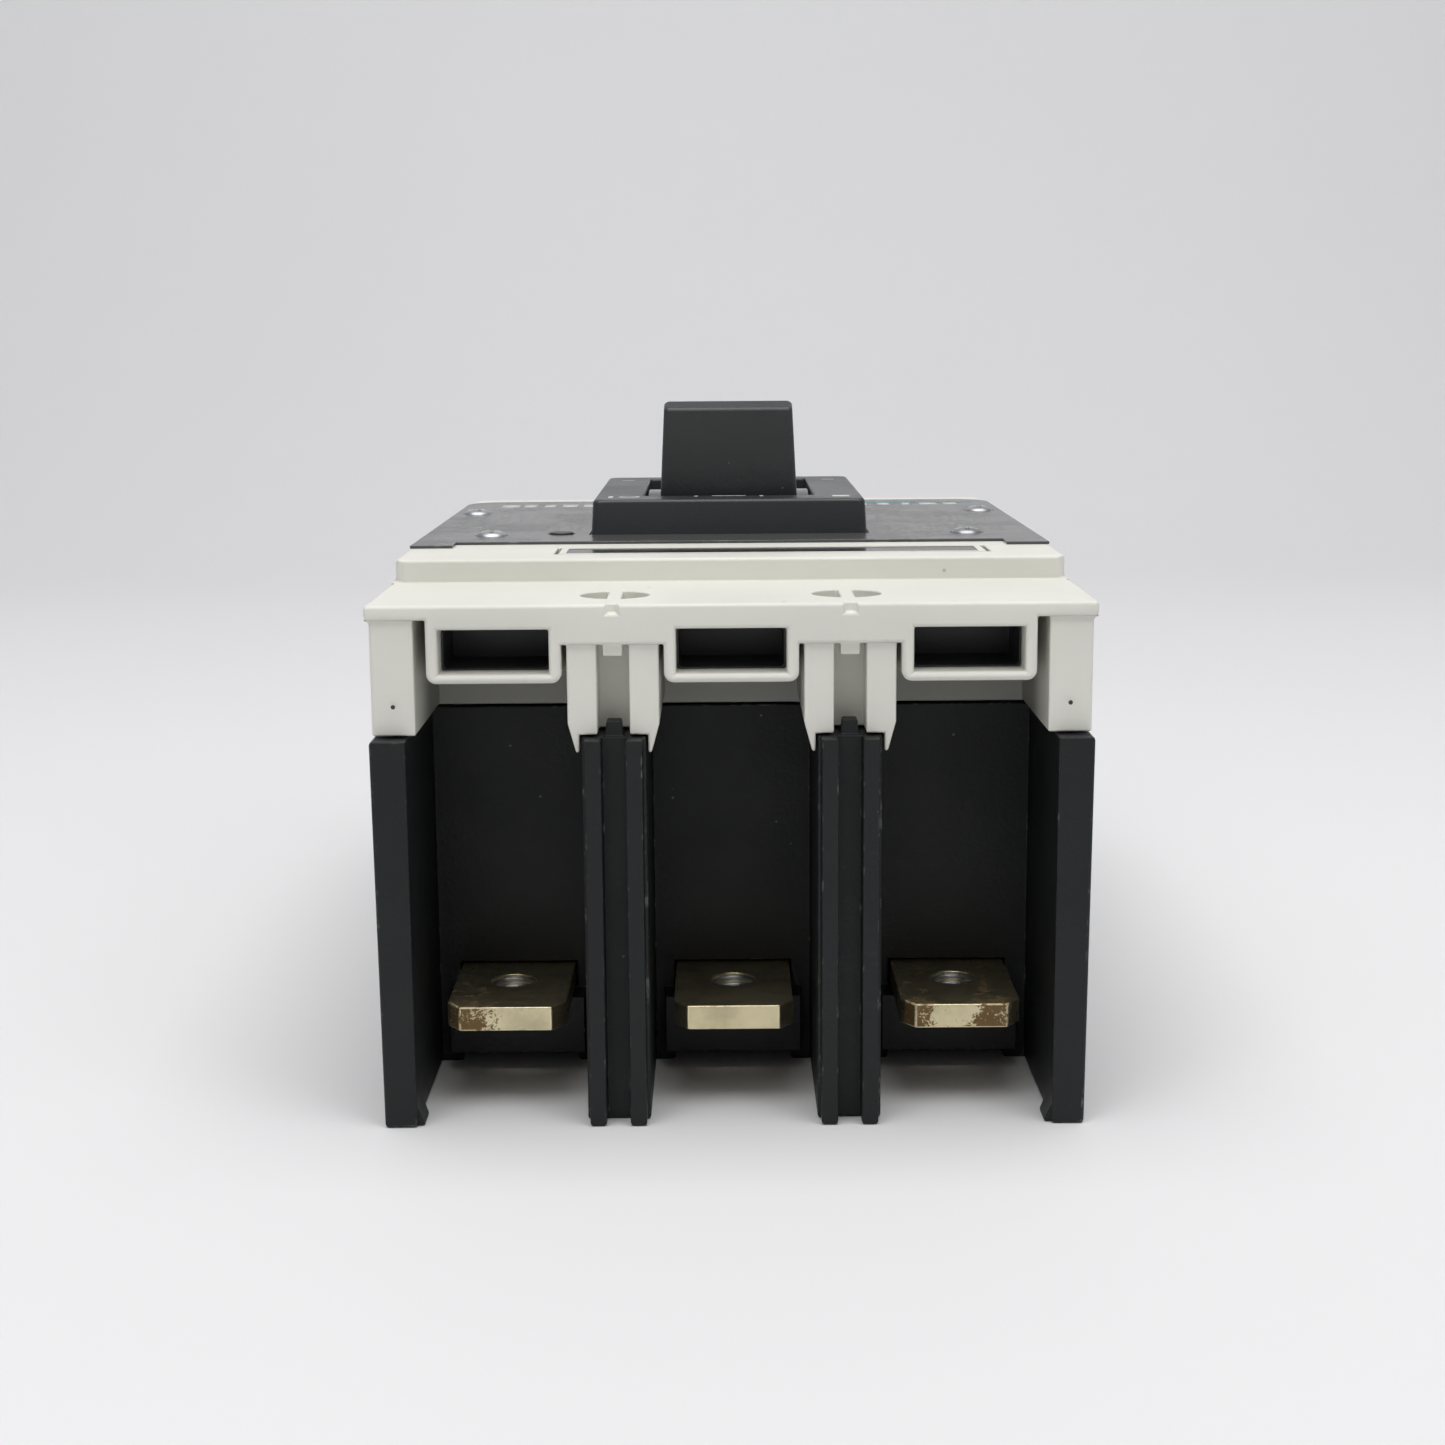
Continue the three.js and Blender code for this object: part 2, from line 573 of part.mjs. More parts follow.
function makeLinks() {
  const hands = [['left', -1], ['right', 1]];
  for (const [label, hand] of hands) {
    const upper = [hand * 7.3, hand * 8.5].sort((a, b) => a - b);
    const stub = [hand * 5.5, hand * 8].sort((a, b) => a - b);
    let link = lever([LINK_TOP, KNEE], 3, upper[0], upper[1]);
    link = link.subtract(rodX(KNEE[0], KNEE[1], PIN_BORE, upper[0] - 1, upper[1] + 1));
    link = link.add(rodX(LINK_TOP[0], LINK_TOP[1], PIN, stub[0], stub[1]));
    add(`upper_link_${label}`, link, steel);
    const lower = [hand * 8.8, hand * 10].sort((a, b) => a - b);
    let second = lever([KNEE, LEVER_END], 3, lower[0], lower[1]);
    for (const [y, z] of [KNEE, LEVER_END]) {
      second = second.subtract(rodX(y, z, PIN_BORE, lower[0] - 1, lower[1] + 1));
    }
    add(`lower_link_${label}`, second, steel);
  }
  add('knee_pin', rodX(KNEE[0], KNEE[1], PIN, -10.3, 10.3), steel);
  add('crossbar_pin', rodX(LEVER_END[0], LEVER_END[1], PIN, -10.3, 10.3), steel);
}

function makeMainSprings() {
  const top = polar([PIVOT.y, PIVOT.z], SPRING_TOP, Math.PI / 2 + REST_ANGLE);
  const run = Math.hypot(top[0] - KNEE[0], top[1] - KNEE[1]);
  const lean = Math.atan2(top[0] - KNEE[0], top[1] - KNEE[1]);
  for (const [name, x] of [['main_spring_left', -3.4], ['main_spring_right', 3.4]]) {
    const geometry = spring(2, run - PIN - 2 * GAP, 12);
    geometry.translate(0, 0, PIN + GAP);
    geometry.rotateX(-lean);
    geometry.translate(x, KNEE[0], KNEE[1]);
    add(name, solid(geometry), steel);
  }
}

// ---- moving contacts, modelled with the arm level and then opened ------------------------------
const contacts = new THREE.Group();
contacts.position.set(0, CROSSBAR.y, CROSSBAR.z);
contacts.rotation.x = OPEN_ANGLE;
assembly.add(contacts);

function makeCrossbar() {
  const { radius, half } = CROSSBAR;
  let body = rodX(0, 0, radius, -half, half, 20);
  const lug = polar([0, 0], LEVER, LEVER_ANGLE - OPEN_ANGLE);
  for (const hand of [-1, 1]) {
    const xs = [hand * 4.6, hand * 7.4].sort((a, b) => a - b);
    body = body.add(lever([[0, 0], lug], 3.2, xs[0], xs[1]));
  }
  body = body.subtract(rodX(lug[0], lug[1], PIN_BORE, -8, 8));
  for (const x of POLES) {
    body = body.subtract(box(x - 4.3, x + 4.3, -20, 40, -3.1, 3.1));
    body = body.add(box(x - 3.5, x + 3.5, -14, -4, -10.5, -9.3));
    body = body.add(box(x - 3.5, x + 3.5, -6.5, -4, -10, -4));
  }
  add('crossbar', body, blackMoulding, contacts);
}

function makeContactArms() {
  POLES.forEach((x, i) => {
    const sheet = outline([[-16, -2.5], [38, -2.5], [38, 1.5], [34, 2.5], [-16, 2.5]]);
    const pad = box(x - 3.5, x + 3.5, 31, 37.5, -4, -2);
    const body = along('x', sheet, x - 4, x + 4).add(pad);
    add(`contact_arm_${i + 1}`, body, copper, contacts);
    const coil = spring(2.5, 6, 4);
    coil.translate(x, -10.5, -9);
    add(`contact_spring_${i + 1}`, solid(coil), steel, contacts);
  });
}

function makeBraids() {
  const start = polar([CROSSBAR.y, CROSSBAR.z], -16.6, OPEN_ANGLE);
  const middle = BAR.bottom + 1.9;
  const path = new THREE.CatmullRomCurve3([
    new THREE.Vector3(0, start[0], start[1]),
    new THREE.Vector3(0, start[0] - 3.5, start[1] - 2.2),
    new THREE.Vector3(0, -31, middle),
    new THREE.Vector3(0, UPRIGHT.front + 0.5, middle),
  ]);
  const section = outline([[-1.2, -3.5], [1.2, -3.5], [1.2, 3.5], [-1.2, 3.5]]);
  POLES.forEach((x, i) => {
    const geometry = new THREE.ExtrudeGeometry(section, { steps: 14, extrudePath: path });
    geometry.translate(x, 0, 0);
    add(`braid_${i + 1}`, solid(geometry), copper);
  });
}

// ---- terminals and arc chutes ------------------------------------------------------------------
function barOutline(x, inner, side) {
  const { front, half, chamferX, chamferY } = BAR;
  const tip = side * (END - front);
  const shoulder = side * (END - front - chamferY);
  const points = [[x - half, inner], [x + half, inner], [x + half, shoulder], [x + half - chamferX, tip],
    [x - half + chamferX, tip], [x - half, shoulder]];
  return outline(side > 0 ? points : points.reverse());
}

function makeTerminals() {
  const { hole, holeAt, bottom, top, half } = BAR;
  POLES.forEach((x, i) => {
    const lineHole = rodZ(x, END - holeAt, hole, bottom - 1, top + 1, 20);
    const rise = box(x - half, x + half, 26, 38, bottom, 23.5);
    const line = along('z', barOutline(x, 26, 1), bottom, top).add(rise).subtract(lineHole);
    add(`line_terminal_${i + 1}`, line, tinnedBar);
    const loadHole = rodZ(x, holeAt - END, hole, bottom - 1, top + 1, 20);
    const upright = box(x - 5, x + 5, UPRIGHT.back, UPRIGHT.front, bottom, UPRIGHT.top);
    const load = along('z', barOutline(x, UPRIGHT.front, -1), bottom, top).add(upright).subtract(loadHole);
    add(`load_terminal_${i + 1}`, load, tinnedBar);
  });
}

function makeArcChutes() {
  const plates = 7;
  const pitch = 5.6;
  POLES.forEach((x, i) => {
    let body = box(x - 12.4, x - 11, 40, 57.5, 18, 57).add(box(x + 11, x + 12.4, 40, 57.5, 18, 57));
    for (let k = 0; k < plates; k += 1) {
      const z = 20 + k * pitch;
      const sheet = outline([[x - 11.5, 41], [x - 4, 41], [x, 50], [x + 4, 41], [x + 11.5, 41],
        [x + 11.5, 57], [x - 11.5, 57]]);
      body = body.add(along('z', sheet, z, z + 1.4));
    }
    add(`arc_chute_${i + 1}`, body, insulation);
  });
}

// ---- trip unit ---------------------------------------------------------------------------------
function makeTripUnit() {
  POLES.forEach((x, i) => {
    const shell = box(x - 9.5, x + 9.5, -52.5, -41.5, 24, 38);
    const inside = box(x - 7.5, x + 7.5, -50, -40, 23, 39);
    add(`magnet_yoke_${i + 1}`, shell.subtract(inside), steel);
    const strip = outline([[-45.6, 20], [-44.4, 20], [-44.4, 52.6], [-39.6, 52.6], [-39.6, 57], [-40.8, 57],
      [-40.8, 53.8], [-45.6, 53.8]]);
    add(`bimetal_${i + 1}`, along('x', strip, x - 6.5, x - 1), steel);
    const { back, front, bottom, top } = ARMATURE;
    const wide = box(x - 9.5, x + 9.5, back, front, bottom, 39);
    const hammer = box(x + 1, x + 6, back, front, 38, top);
    add(`armature_${i + 1}`, wide.add(hammer), steel);
  });
}

function makeTripBar() {
  const [y, z] = TRIP_AXIS;
  let body = rodX(y, z, 2.5, -47, 47);
  for (const x of POLES) {
    body = body.add(box(x - 6.5, x + 6.5, -43.2, y, z - 1.5, z + 1));
    body = body.add(box(x - 6.5, x + 6.5, -43.2, -41.7, 54.8, z + 1));
  }
  body = body.add(box(BUTTON.x - 3, BUTTON.x + 3, y, BUTTON.y + 2.5, z - 1, z + 1.8));
  body = body.add(box(-5, 5, -31, -29.5, 53.5, z)).add(box(-5, 5, y, -29.5, z - 2, z));
  add('trip_bar', body, insulation);
}

function makeTripButton() {
  const { x, y, radius, bottom } = BUTTON;
  const collar = rodZ(x, y, 3.4, 75.2, 76.6);
  const body = rodZ(x, y, radius, 76, PLATE_TOP + 0.1).add(rodZ(x, y, 1.3, bottom, 77, 12)).add(collar);
  add('trip_button', body, greyMoulding);
  const coil = spring(2.6, 7.2, 6);
  coil.translate(x, y, 67.7);
  const bore = rodZ(x, y, 1.6, 60, 80, 12);
  add('trip_button_spring', solid(coil).subtract(bore), steel);
}

makeBase();
makeCover();
makeFaceplate();
makeStripWindow();
makeEscutcheon();
makeScrews();
makeGrip();
makeShield();
makeYoke();
makeSidePlates();
makeCradle();
makeLinks();
makeMainSprings();
makeCrossbar();
makeContactArms();
makeBraids();
makeTerminals();
makeArcChutes();
makeTripUnit();
makeTripBar();
makeTripButton();

export default assembly;
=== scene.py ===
"""A three-pole molded case circuit breaker: its finished surfaces around the fixed CAD frame."""
import json
import math

import bmesh
import bpy
from mathutils import Matrix, Vector
from mathutils.geometry import delaunay_2d_cdt


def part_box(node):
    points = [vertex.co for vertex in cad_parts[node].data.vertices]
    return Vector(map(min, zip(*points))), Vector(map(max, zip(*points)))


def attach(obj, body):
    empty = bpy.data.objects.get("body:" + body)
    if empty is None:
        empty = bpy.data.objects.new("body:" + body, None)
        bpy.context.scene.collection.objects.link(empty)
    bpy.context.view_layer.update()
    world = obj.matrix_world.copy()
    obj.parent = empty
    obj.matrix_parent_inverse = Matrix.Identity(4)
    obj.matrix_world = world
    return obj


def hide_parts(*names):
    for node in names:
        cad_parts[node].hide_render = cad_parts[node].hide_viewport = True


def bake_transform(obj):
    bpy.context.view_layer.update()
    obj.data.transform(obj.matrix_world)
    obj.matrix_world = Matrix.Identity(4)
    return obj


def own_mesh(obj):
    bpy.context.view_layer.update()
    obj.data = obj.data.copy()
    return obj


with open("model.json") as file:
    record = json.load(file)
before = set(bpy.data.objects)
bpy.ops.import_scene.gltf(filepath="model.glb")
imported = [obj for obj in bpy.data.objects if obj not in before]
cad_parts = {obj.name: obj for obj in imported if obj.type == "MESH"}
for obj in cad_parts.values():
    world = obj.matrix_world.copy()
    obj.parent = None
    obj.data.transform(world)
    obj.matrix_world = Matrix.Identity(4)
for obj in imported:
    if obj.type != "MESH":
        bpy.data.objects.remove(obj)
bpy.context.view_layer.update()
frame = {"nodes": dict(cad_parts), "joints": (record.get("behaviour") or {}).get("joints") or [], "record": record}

MM = 0.001
NODES = frame["nodes"]
POLES = (1, 2, 3)

BODY_OF = {
    node: body for body, nodes in frame["record"]["behaviour"]["bodies"].items() for node in nodes
}


# ---- places taken from the frame ---------------------------------------------------------------
BOXES = {node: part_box(node) for node in NODES}


def low(node):
    return BOXES[node][0]


def high(node):
    return BOXES[node][1]


def centre(node):
    return (low(node) + high(node)) / 2


JOINTS = {joint["name"]: joint for joint in frame["joints"]}
HANDLE_PIVOT = Vector(JOINTS["handle_toggle"]["pos_m"])
HANDLE_LEAN = math.radians(21)          # the handle's lean at rest, towards the load end
HALF_LENGTH = high("base").y
# SIDE_WALL keeps the painted recess shade off the outer side walls.
SIDE_WALL = high("base").x - 0.9 * MM   # inside the side walls' thickness, across the case
STEP_DEPTH = 31.1 * MM                  # from an end face back to the cover's raised centre
SHEET_DROP = 0.2 * MM                   # the printed sheet is set down by this, onto the cover
COVER_TOP = low("faceplate").z - SHEET_DROP
SHEET_TOP = high("faceplate").z - SHEET_DROP
SURROUND_NEAR = low("escutcheon").y
SURROUND_FAR = high("escutcheon").y
MERGE = 0.002 * MM                      # corners closer than this are one corner
NEAR = 0.1 * MM                         # an edge closer than this lies on a face


# ---- node trees ----------------------------------------------------------------------------------
class Wiring:
    """Adds nodes to one tree. An input given a socket is linked to it, and any other value is set."""

    def __init__(self, tree):
        self.tree = tree

    def feed(self, socket, value):
        if isinstance(value, bpy.types.NodeSocket):
            self.tree.links.new(value, socket)
        else:
            socket.default_value = value

    def add(self, kind, inputs=None, **settings):
        node = self.tree.nodes.new(kind)
        for key, value in settings.items():
            setattr(node, key, value)
        for key, value in (inputs or {}).items():
            self.feed(node.inputs[key], value)
        return node

    def math(self, operation, a, b=0.0, clamp=False):
        node = self.add("ShaderNodeMath", {0: a, 1: b}, operation=operation, use_clamp=clamp)
        return node.outputs[0]

    def ramp(self, value, start, end, to_low=0.0, to_high=1.0):
        inputs = {"Value": value, "From Min": start, "From Max": end, "To Min": to_low, "To Max": to_high}
        return self.add("ShaderNodeMapRange", inputs, interpolation_type="SMOOTHSTEP").outputs["Result"]

    def mix(self, factor, a, b):
        inputs = {"Factor": factor, 6: a, 7: b}
        return self.add("ShaderNodeMix", inputs, data_type="RGBA").outputs[2]

    def noise(self, vector, scale, detail=3.0, rough=0.5):
        inputs = {"Vector": vector, "Scale": scale, "Detail": detail, "Roughness": rough}
        return self.add("ShaderNodeTexNoise", inputs).outputs["Fac"]

    def place(self, vector, scale=(1, 1, 1), turn=(0, 0, 0)):
        inputs = {"Vector": vector, "Rotation": turn, "Scale": scale}
        return self.add("ShaderNodeMapping", inputs).outputs["Vector"]


SOCKETS = {float: "NodeSocketFloat", int: "NodeSocketInt"}
LINKED_SOCKETS = {"Finish": "NodeSocketMaterial", "Pattern": "NodeSocketObject"}


def shader_group(name, inputs, outputs, build):
    """A shader node group: inputs maps a name to its usual value, and build returns each output's socket."""
    tree = bpy.data.node_groups.new(name, "ShaderNodeTree")
    tree.interface.new_socket("Vector", in_out="INPUT", socket_type="NodeSocketVector")
    for label, value in inputs.items():
        socket = tree.interface.new_socket(label, in_out="INPUT", socket_type=SOCKETS[type(value)])
        socket.default_value = value
    for label in outputs:
        tree.interface.new_socket(label, in_out="OUTPUT", socket_type="NodeSocketFloat")
    wiring = Wiring(tree)
    entry = wiring.add("NodeGroupInput")
    results = build(wiring, {socket.name: socket for socket in entry.outputs if socket.name})
    leave = wiring.add("NodeGroupOutput")
    for label, result in zip(outputs, results):
        wiring.feed(leave.inputs[label], result)
    return tree


def build_grain(w, given):
    """The height of a fine moulded grain, and a broad mottle of the same surface."""
    fine = w.noise(given["Vector"], given["Scale"], 4.0, 0.6)
    cells = w.add("ShaderNodeTexVoronoi", {"Vector": given["Vector"], "Scale": given["Scale"]})
    height = w.math("ADD", fine, w.math("MULTIPLY", cells.outputs["Distance"], 0.35))
    broad = w.noise(given["Vector"], w.math("MULTIPLY", given["Scale"], 0.035), 3.0)
    return height, w.ramp(broad, 0.35, 0.68)


def build_specks(w, given):
    """Round specks in a share of the cells."""
    cells = w.add("ShaderNodeTexVoronoi", {"Vector": given["Vector"], "Scale": given["Scale"]})
    dot = w.ramp(cells.outputs["Distance"], given["Size"], w.math("MULTIPLY", given["Size"], 0.5))
    chance = w.add("ShaderNodeSeparateColor", {"Color": cells.outputs["Color"]}).outputs["Red"]
    return [w.math("MULTIPLY", dot, w.math("LESS_THAN", chance, given["Share"]))]


def build_scuffs(w, given):
    """Thin crossing scratches, kept to some zones."""
    stretched = w.place(given["Vector"], scale=(0.25, 1.0, 1.0), turn=(0.3, 0.2, 0.7))
    lines = w.noise(stretched, given["Scale"], 6.0, 0.7)
    thin = w.ramp(w.math("ABSOLUTE", w.math("SUBTRACT", lines, 0.5)), 0.012, 0.0)
    zone = w.noise(given["Vector"], w.math("MULTIPLY", given["Scale"], 0.12), 2.0)
    gate = w.ramp(zone, w.math("SUBTRACT", 1.0, given["Amount"]), 1.0)
    return [w.math("MULTIPLY", thin, gate)]


def build_edge_rub(w, given):
    """Broken wear along the rounded edges, from the piece's edge attribute."""
    edge = w.add("ShaderNodeAttribute", attribute_name="edge").outputs["Fac"]
    broken = w.noise(given["Vector"], given["Scale"], 5.0, 0.65)
    start = w.math("SUBTRACT", 0.75, w.math("MULTIPLY", given["Amount"], 0.5))
    return [w.math("MULTIPLY", edge, w.ramp(broken, start, w.math("ADD", start, 0.14)))]


def build_tarnish(w, given):
    """Brown patches that gather round one place across the bar and thin out within its reach."""
    place = w.add("ShaderNodeSeparateXYZ", {"Vector": given["Vector"]})
    away = w.math("ABSOLUTE", w.math("SUBTRACT", place.outputs["X"], given["Centre"]))
    near = w.math("SUBTRACT", 1.0, w.math("DIVIDE", away, given["Reach"]), clamp=True)
    depth = w.math("SUBTRACT", HALF_LENGTH, w.math("ABSOLUTE", place.outputs["Y"]))
    near = w.math("MULTIPLY", near, w.ramp(depth, 0.011, 0.0073, 0.3, 1.0))
    blotch = w.noise(given["Vector"], 420.0, 3.0, 0.55)
    crumbs = w.noise(given["Vector"], 2600.0, 4.0, 0.7)
    spread = w.math("ADD", w.math("MULTIPLY", blotch, 0.45), w.math("MULTIPLY", crumbs, 0.55))
    lifted = w.math("ADD", spread, w.math("MULTIPLY", near, given["Amount"]))
    return [w.ramp(lifted, 0.6, 0.66)]


def build_recess_shade(w, given):
    """Painted shade between the side walls: behind a depth from the end faces, and below a height."""
    place = w.add("ShaderNodeSeparateXYZ", {"Vector": given["Vector"]})
    depth = w.math("SUBTRACT", HALF_LENGTH, w.math("ABSOLUTE", place.outputs["Y"]))
    deep = w.ramp(depth, given["From"], w.math("ADD", given["From"], 12 * MM))
    under = w.ramp(place.outputs["Z"], given["Below"], w.math("SUBTRACT", given["Below"], 1 * MM))
    across = w.math("ABSOLUTE", place.outputs["X"])
    inside = w.ramp(across, SIDE_WALL, w.math("SUBTRACT", SIDE_WALL, 0.5 * MM))
    return [w.math("MULTIPLY", w.math("MULTIPLY", deep, under), inside)]


GRAIN = shader_group("moulded grain", {"Scale": 1400.0}, ("Height", "Mottle"), build_grain)
SPECKS = shader_group("specks", {"Scale": 220.0, "Size": 0.12, "Share": 0.3}, ("Mask",), build_specks)
SCUFFS = shader_group("scuffs", {"Scale": 60.0, "Amount": 0.45}, ("Mask",), build_scuffs)
EDGE_RUB = shader_group("edge rub", {"Scale": 260.0, "Amount": 0.5}, ("Mask",), build_edge_rub)
# Painted shade, darkening the white moulding deep between the side walls and low down.
RECESS_SHADE = shader_group("recess painted shade", {"From": 0.0095, "Below": 0.0772}, ("Mask",), build_recess_shade)
TARNISH = shader_group("tarnish", {"Centre": 0.0, "Reach": 0.008, "Amount": 0.3}, ("Mask",), build_tarnish)


# ---- materials -----------------------------------------------------------------------------------
SCUFF_TINT = 0.25       # how far a scuff turns a moulding towards its mark colour
RUB_TINT = 0.45         # how far a rubbed edge does
SCUFF_SHINE = 0.12      # how much smoother a scuff is
RUB_SHINE = 0.8         # how far a metal's rubbed edge turns towards bare metal
STAIN_DULL = 0.25       # how much rougher a stain is than the metal beside it


def start_material(name):
    """A material with its coordinates, its shader and nothing on it yet."""
    material = bpy.data.materials.new(name)
    material.use_nodes = True
    material.node_tree.nodes.clear()
    w = Wiring(material.node_tree)
    point = w.add("ShaderNodeTexCoord").outputs["Object"]
    shader = w.add("ShaderNodeBsdfPrincipled")
    out = w.add("ShaderNodeOutputMaterial")
    w.feed(out.inputs["Surface"], shader.outputs["BSDF"])
    return material, w, point, shader


def use(w, group, point, **values):
    """A shader group placed in a material with the values given."""
    node = w.add("ShaderNodeGroup", node_tree=group)
    w.feed(node.inputs["Vector"], point)
    for label, value in values.items():
        w.feed(node.inputs[label], value)
    return node.outputs


def moulding(name, colour, rough, grain=1400.0, depth=0.05, mark=(0.5, 0.5, 0.5), rub=0.5, scuff=0.4,
             speck=None, specular=0.5, mottle=0.14, recess=0.0):
    """A moulded plastic: grain, broad mottle, rubbed edges, scuffs, dust or dirt specks, and painted shade in
    recesses.
    """
    material, w, point, shader = start_material(name)
    base = (*colour, 1.0)
    marked = (*mark, 1.0)
    surface = use(w, GRAIN, point, Scale=grain)
    shaded = tuple(channel * (1.0 - mottle) for channel in colour) + (1.0,)
    tint = w.mix(surface["Mottle"], base, shaded)
    scuffs = use(w, SCUFFS, point, Amount=scuff)["Mask"]
    tint = w.mix(w.math("MULTIPLY", scuffs, SCUFF_TINT), tint, marked)
    rubbed = use(w, EDGE_RUB, point, Amount=rub)["Mask"]
    tint = w.mix(w.math("MULTIPLY", rubbed, RUB_TINT), tint, marked)
    if speck:
        spots = use(w, SPECKS, point, Scale=speck["scale"], Size=speck["size"], Share=speck["share"])["Mask"]
        tint = w.mix(w.math("MULTIPLY", spots, speck["strength"]), tint, (*speck["colour"], 1.0))
    # painted shade: recess darkens the colour deep between the side walls and low down, standing in for shade
    # there
    if recess:
        shade_colour = tuple(channel * (1.0 - recess) for channel in colour) + (1.0,)
        tint = w.mix(use(w, RECESS_SHADE, point)["Mask"], tint, shade_colour)
    w.feed(shader.inputs["Base Color"], tint)
    uneven = w.ramp(surface["Mottle"], 0.0, 1.0, rough - 0.025, rough + 0.03)
    smoother = w.math("MULTIPLY", scuffs, SCUFF_SHINE)
    w.feed(shader.inputs["Roughness"], w.math("SUBTRACT", uneven, smoother))
    bump = w.add("ShaderNodeBump", {"Height": surface["Height"], "Strength": 1.0, "Distance": depth * MM})
    w.feed(shader.inputs["Normal"], bump.outputs["Normal"])
    shader.inputs["Specular IOR Level"].default_value = specular
    return material


def metal(name, colour, rough, streak=(1.0, 1.0, 1.0), patches=(), patch_colour=(0.16, 0.09, 0.03)):
    """A plated or bare metal: drawn streaks, uneven roughness and tarnish at the places given."""
    material, w, point, shader = start_material(name)
    drawn = w.noise(w.place(point, scale=streak), 900.0, 4.0, 0.6)
    cloud = w.noise(point, 130.0, 4.0, 0.6)
    darker = tuple(channel * 0.72 for channel in colour) + (1.0,)
    tint = w.mix(w.ramp(cloud, 0.35, 0.7), (*colour, 1.0), darker)
    stain = w.ramp(w.noise(point, 1500.0, 4.0), 0.7, 0.78)
    for at, reach, amount in patches:
        found = use(w, TARNISH, point, Centre=at, Reach=reach, Amount=amount)["Mask"]
        stain = w.math("MAXIMUM", stain, found)
    tint = w.mix(stain, tint, (*patch_colour, 1.0))
    rubbed = use(w, EDGE_RUB, point, Amount=0.75, Scale=900.0)["Mask"]
    bright = tuple(min(1.0, channel * 1.2) for channel in colour) + (1.0,)
    tint = w.mix(w.math("MULTIPLY", rubbed, RUB_SHINE), tint, bright)
    w.feed(shader.inputs["Base Color"], tint)
    w.feed(shader.inputs["Metallic"], w.ramp(stain, 0.0, 1.0, 1.0, 0.35))
    uneven = w.ramp(drawn, 0.3, 0.7, rough - 0.03, rough + 0.05)
    w.feed(shader.inputs["Roughness"], w.math("ADD", uneven, w.math("MULTIPLY", stain, STAIN_DULL)))
    bump = w.add("ShaderNodeBump", {"Height": drawn, "Strength": 0.6, "Distance": 0.006 * MM})
    w.feed(shader.inputs["Normal"], bump.outputs["Normal"])
    return material


def make_materials():
    dust = {"scale": 420.0, "size": 0.11, "share": 0.06, "strength": 0.22, "colour": (0.4, 0.4, 0.38)}
    dirt = {"scale": 150.0, "size": 0.07, "share": 0.16, "strength": 0.5, "colour": (0.25, 0.22, 0.17)}
    return {
        "black": moulding("black moulding", (0.0118, 0.013, 0.0135), 0.48, depth=0.06, mark=(0.2, 0.2, 0.2),
                          speck=dust, rub=0.4, specular=0.3, mottle=0.08),
        # The white moulding gets painted shade in its recesses, set by recess.
        "white": moulding("white moulding", (0.76, 0.755, 0.69), 0.42, grain=900.0, depth=0.015,
                          mark=(0.5, 0.48, 0.42), speck=dirt, rub=0.25, scuff=0.35, mottle=0.05,
                          recess=0.55),
        "grey": moulding("dark grey moulding", (0.035, 0.037, 0.039), 0.36, depth=0.04,
                         mark=(0.25, 0.25, 0.25), speck=dust, rub=0.3),
        "gloss": moulding("polished moulding", (0.02, 0.02, 0.021), 0.16, depth=0.004, mark=(0.2, 0.2, 0.2),
                          rub=0.1, scuff=0.6),
        "plate": moulding("printed sheet", (0.075, 0.075, 0.076), 0.26, grain=2200.0, depth=0.012,
                          mark=(0.3, 0.3, 0.3), speck=dust, rub=0.4, scuff=0.6),
        "print": moulding("light print", (0.62, 0.62, 0.6), 0.5, depth=0.01, rub=0.0),
        "faint": moulding("faint print", (0.36, 0.36, 0.35), 0.5, depth=0.01, rub=0.0),
        "teal": moulding("teal print", (0.05, 0.3, 0.32), 0.5, depth=0.01, rub=0.0),
        "steel": metal("plated steel", (0.52, 0.53, 0.54), 0.4, streak=(1.0, 0.15, 1.0)),
        "dark_steel": metal("dark plated steel", (0.3, 0.3, 0.31), 0.42),
        "copper": metal("bare copper", (0.75, 0.4, 0.25), 0.34, streak=(1.0, 0.1, 1.0)),
        "fibre": moulding("pressed fibre", (0.2, 0.14, 0.08), 0.65, grain=700.0, depth=0.08),
    }


PALETTE = make_materials()


def tinned(name, patches):
    """Tin plate with brown patches, each given by its place across, its reach and its strength."""
    return metal(name, (0.72, 0.64, 0.42), 0.38, streak=(0.12, 1.0, 1.0), patches=patches,
                 patch_colour=(0.17, 0.1, 0.035))


# ---- meshes --------------------------------------------------------------------------------------
def new_object(name, mesh, *materials):
    piece = bpy.data.objects.new(name, mesh)
    bpy.context.scene.collection.objects.link(piece)
    if materials:
        mesh.materials.clear()
    for material in materials:
        mesh.materials.append(material)
    return piece


def finished(piece):
    """The piece with its modifiers applied."""
    bpy.context.view_layer.update()
    evaluated = piece.evaluated_get(bpy.context.evaluated_depsgraph_get())
    mesh = bpy.data.meshes.new_from_object(evaluated)
    piece.modifiers.clear()
    piece.data = mesh
    return piece


def mark_edges(mesh, band):
    """Writes 1 on the corners of the faces in material slot band, the rounded edges, and 0 elsewhere."""
    attribute = mesh.attributes.new("edge", "FLOAT", "CORNER")
    for face in mesh.polygons:
        value = 1.0 if face.material_index == band else 0.0
        for corner in face.loop_indices:
            attribute.data[corner].value = value
        face.material_index = 0
        face.use_smooth = True


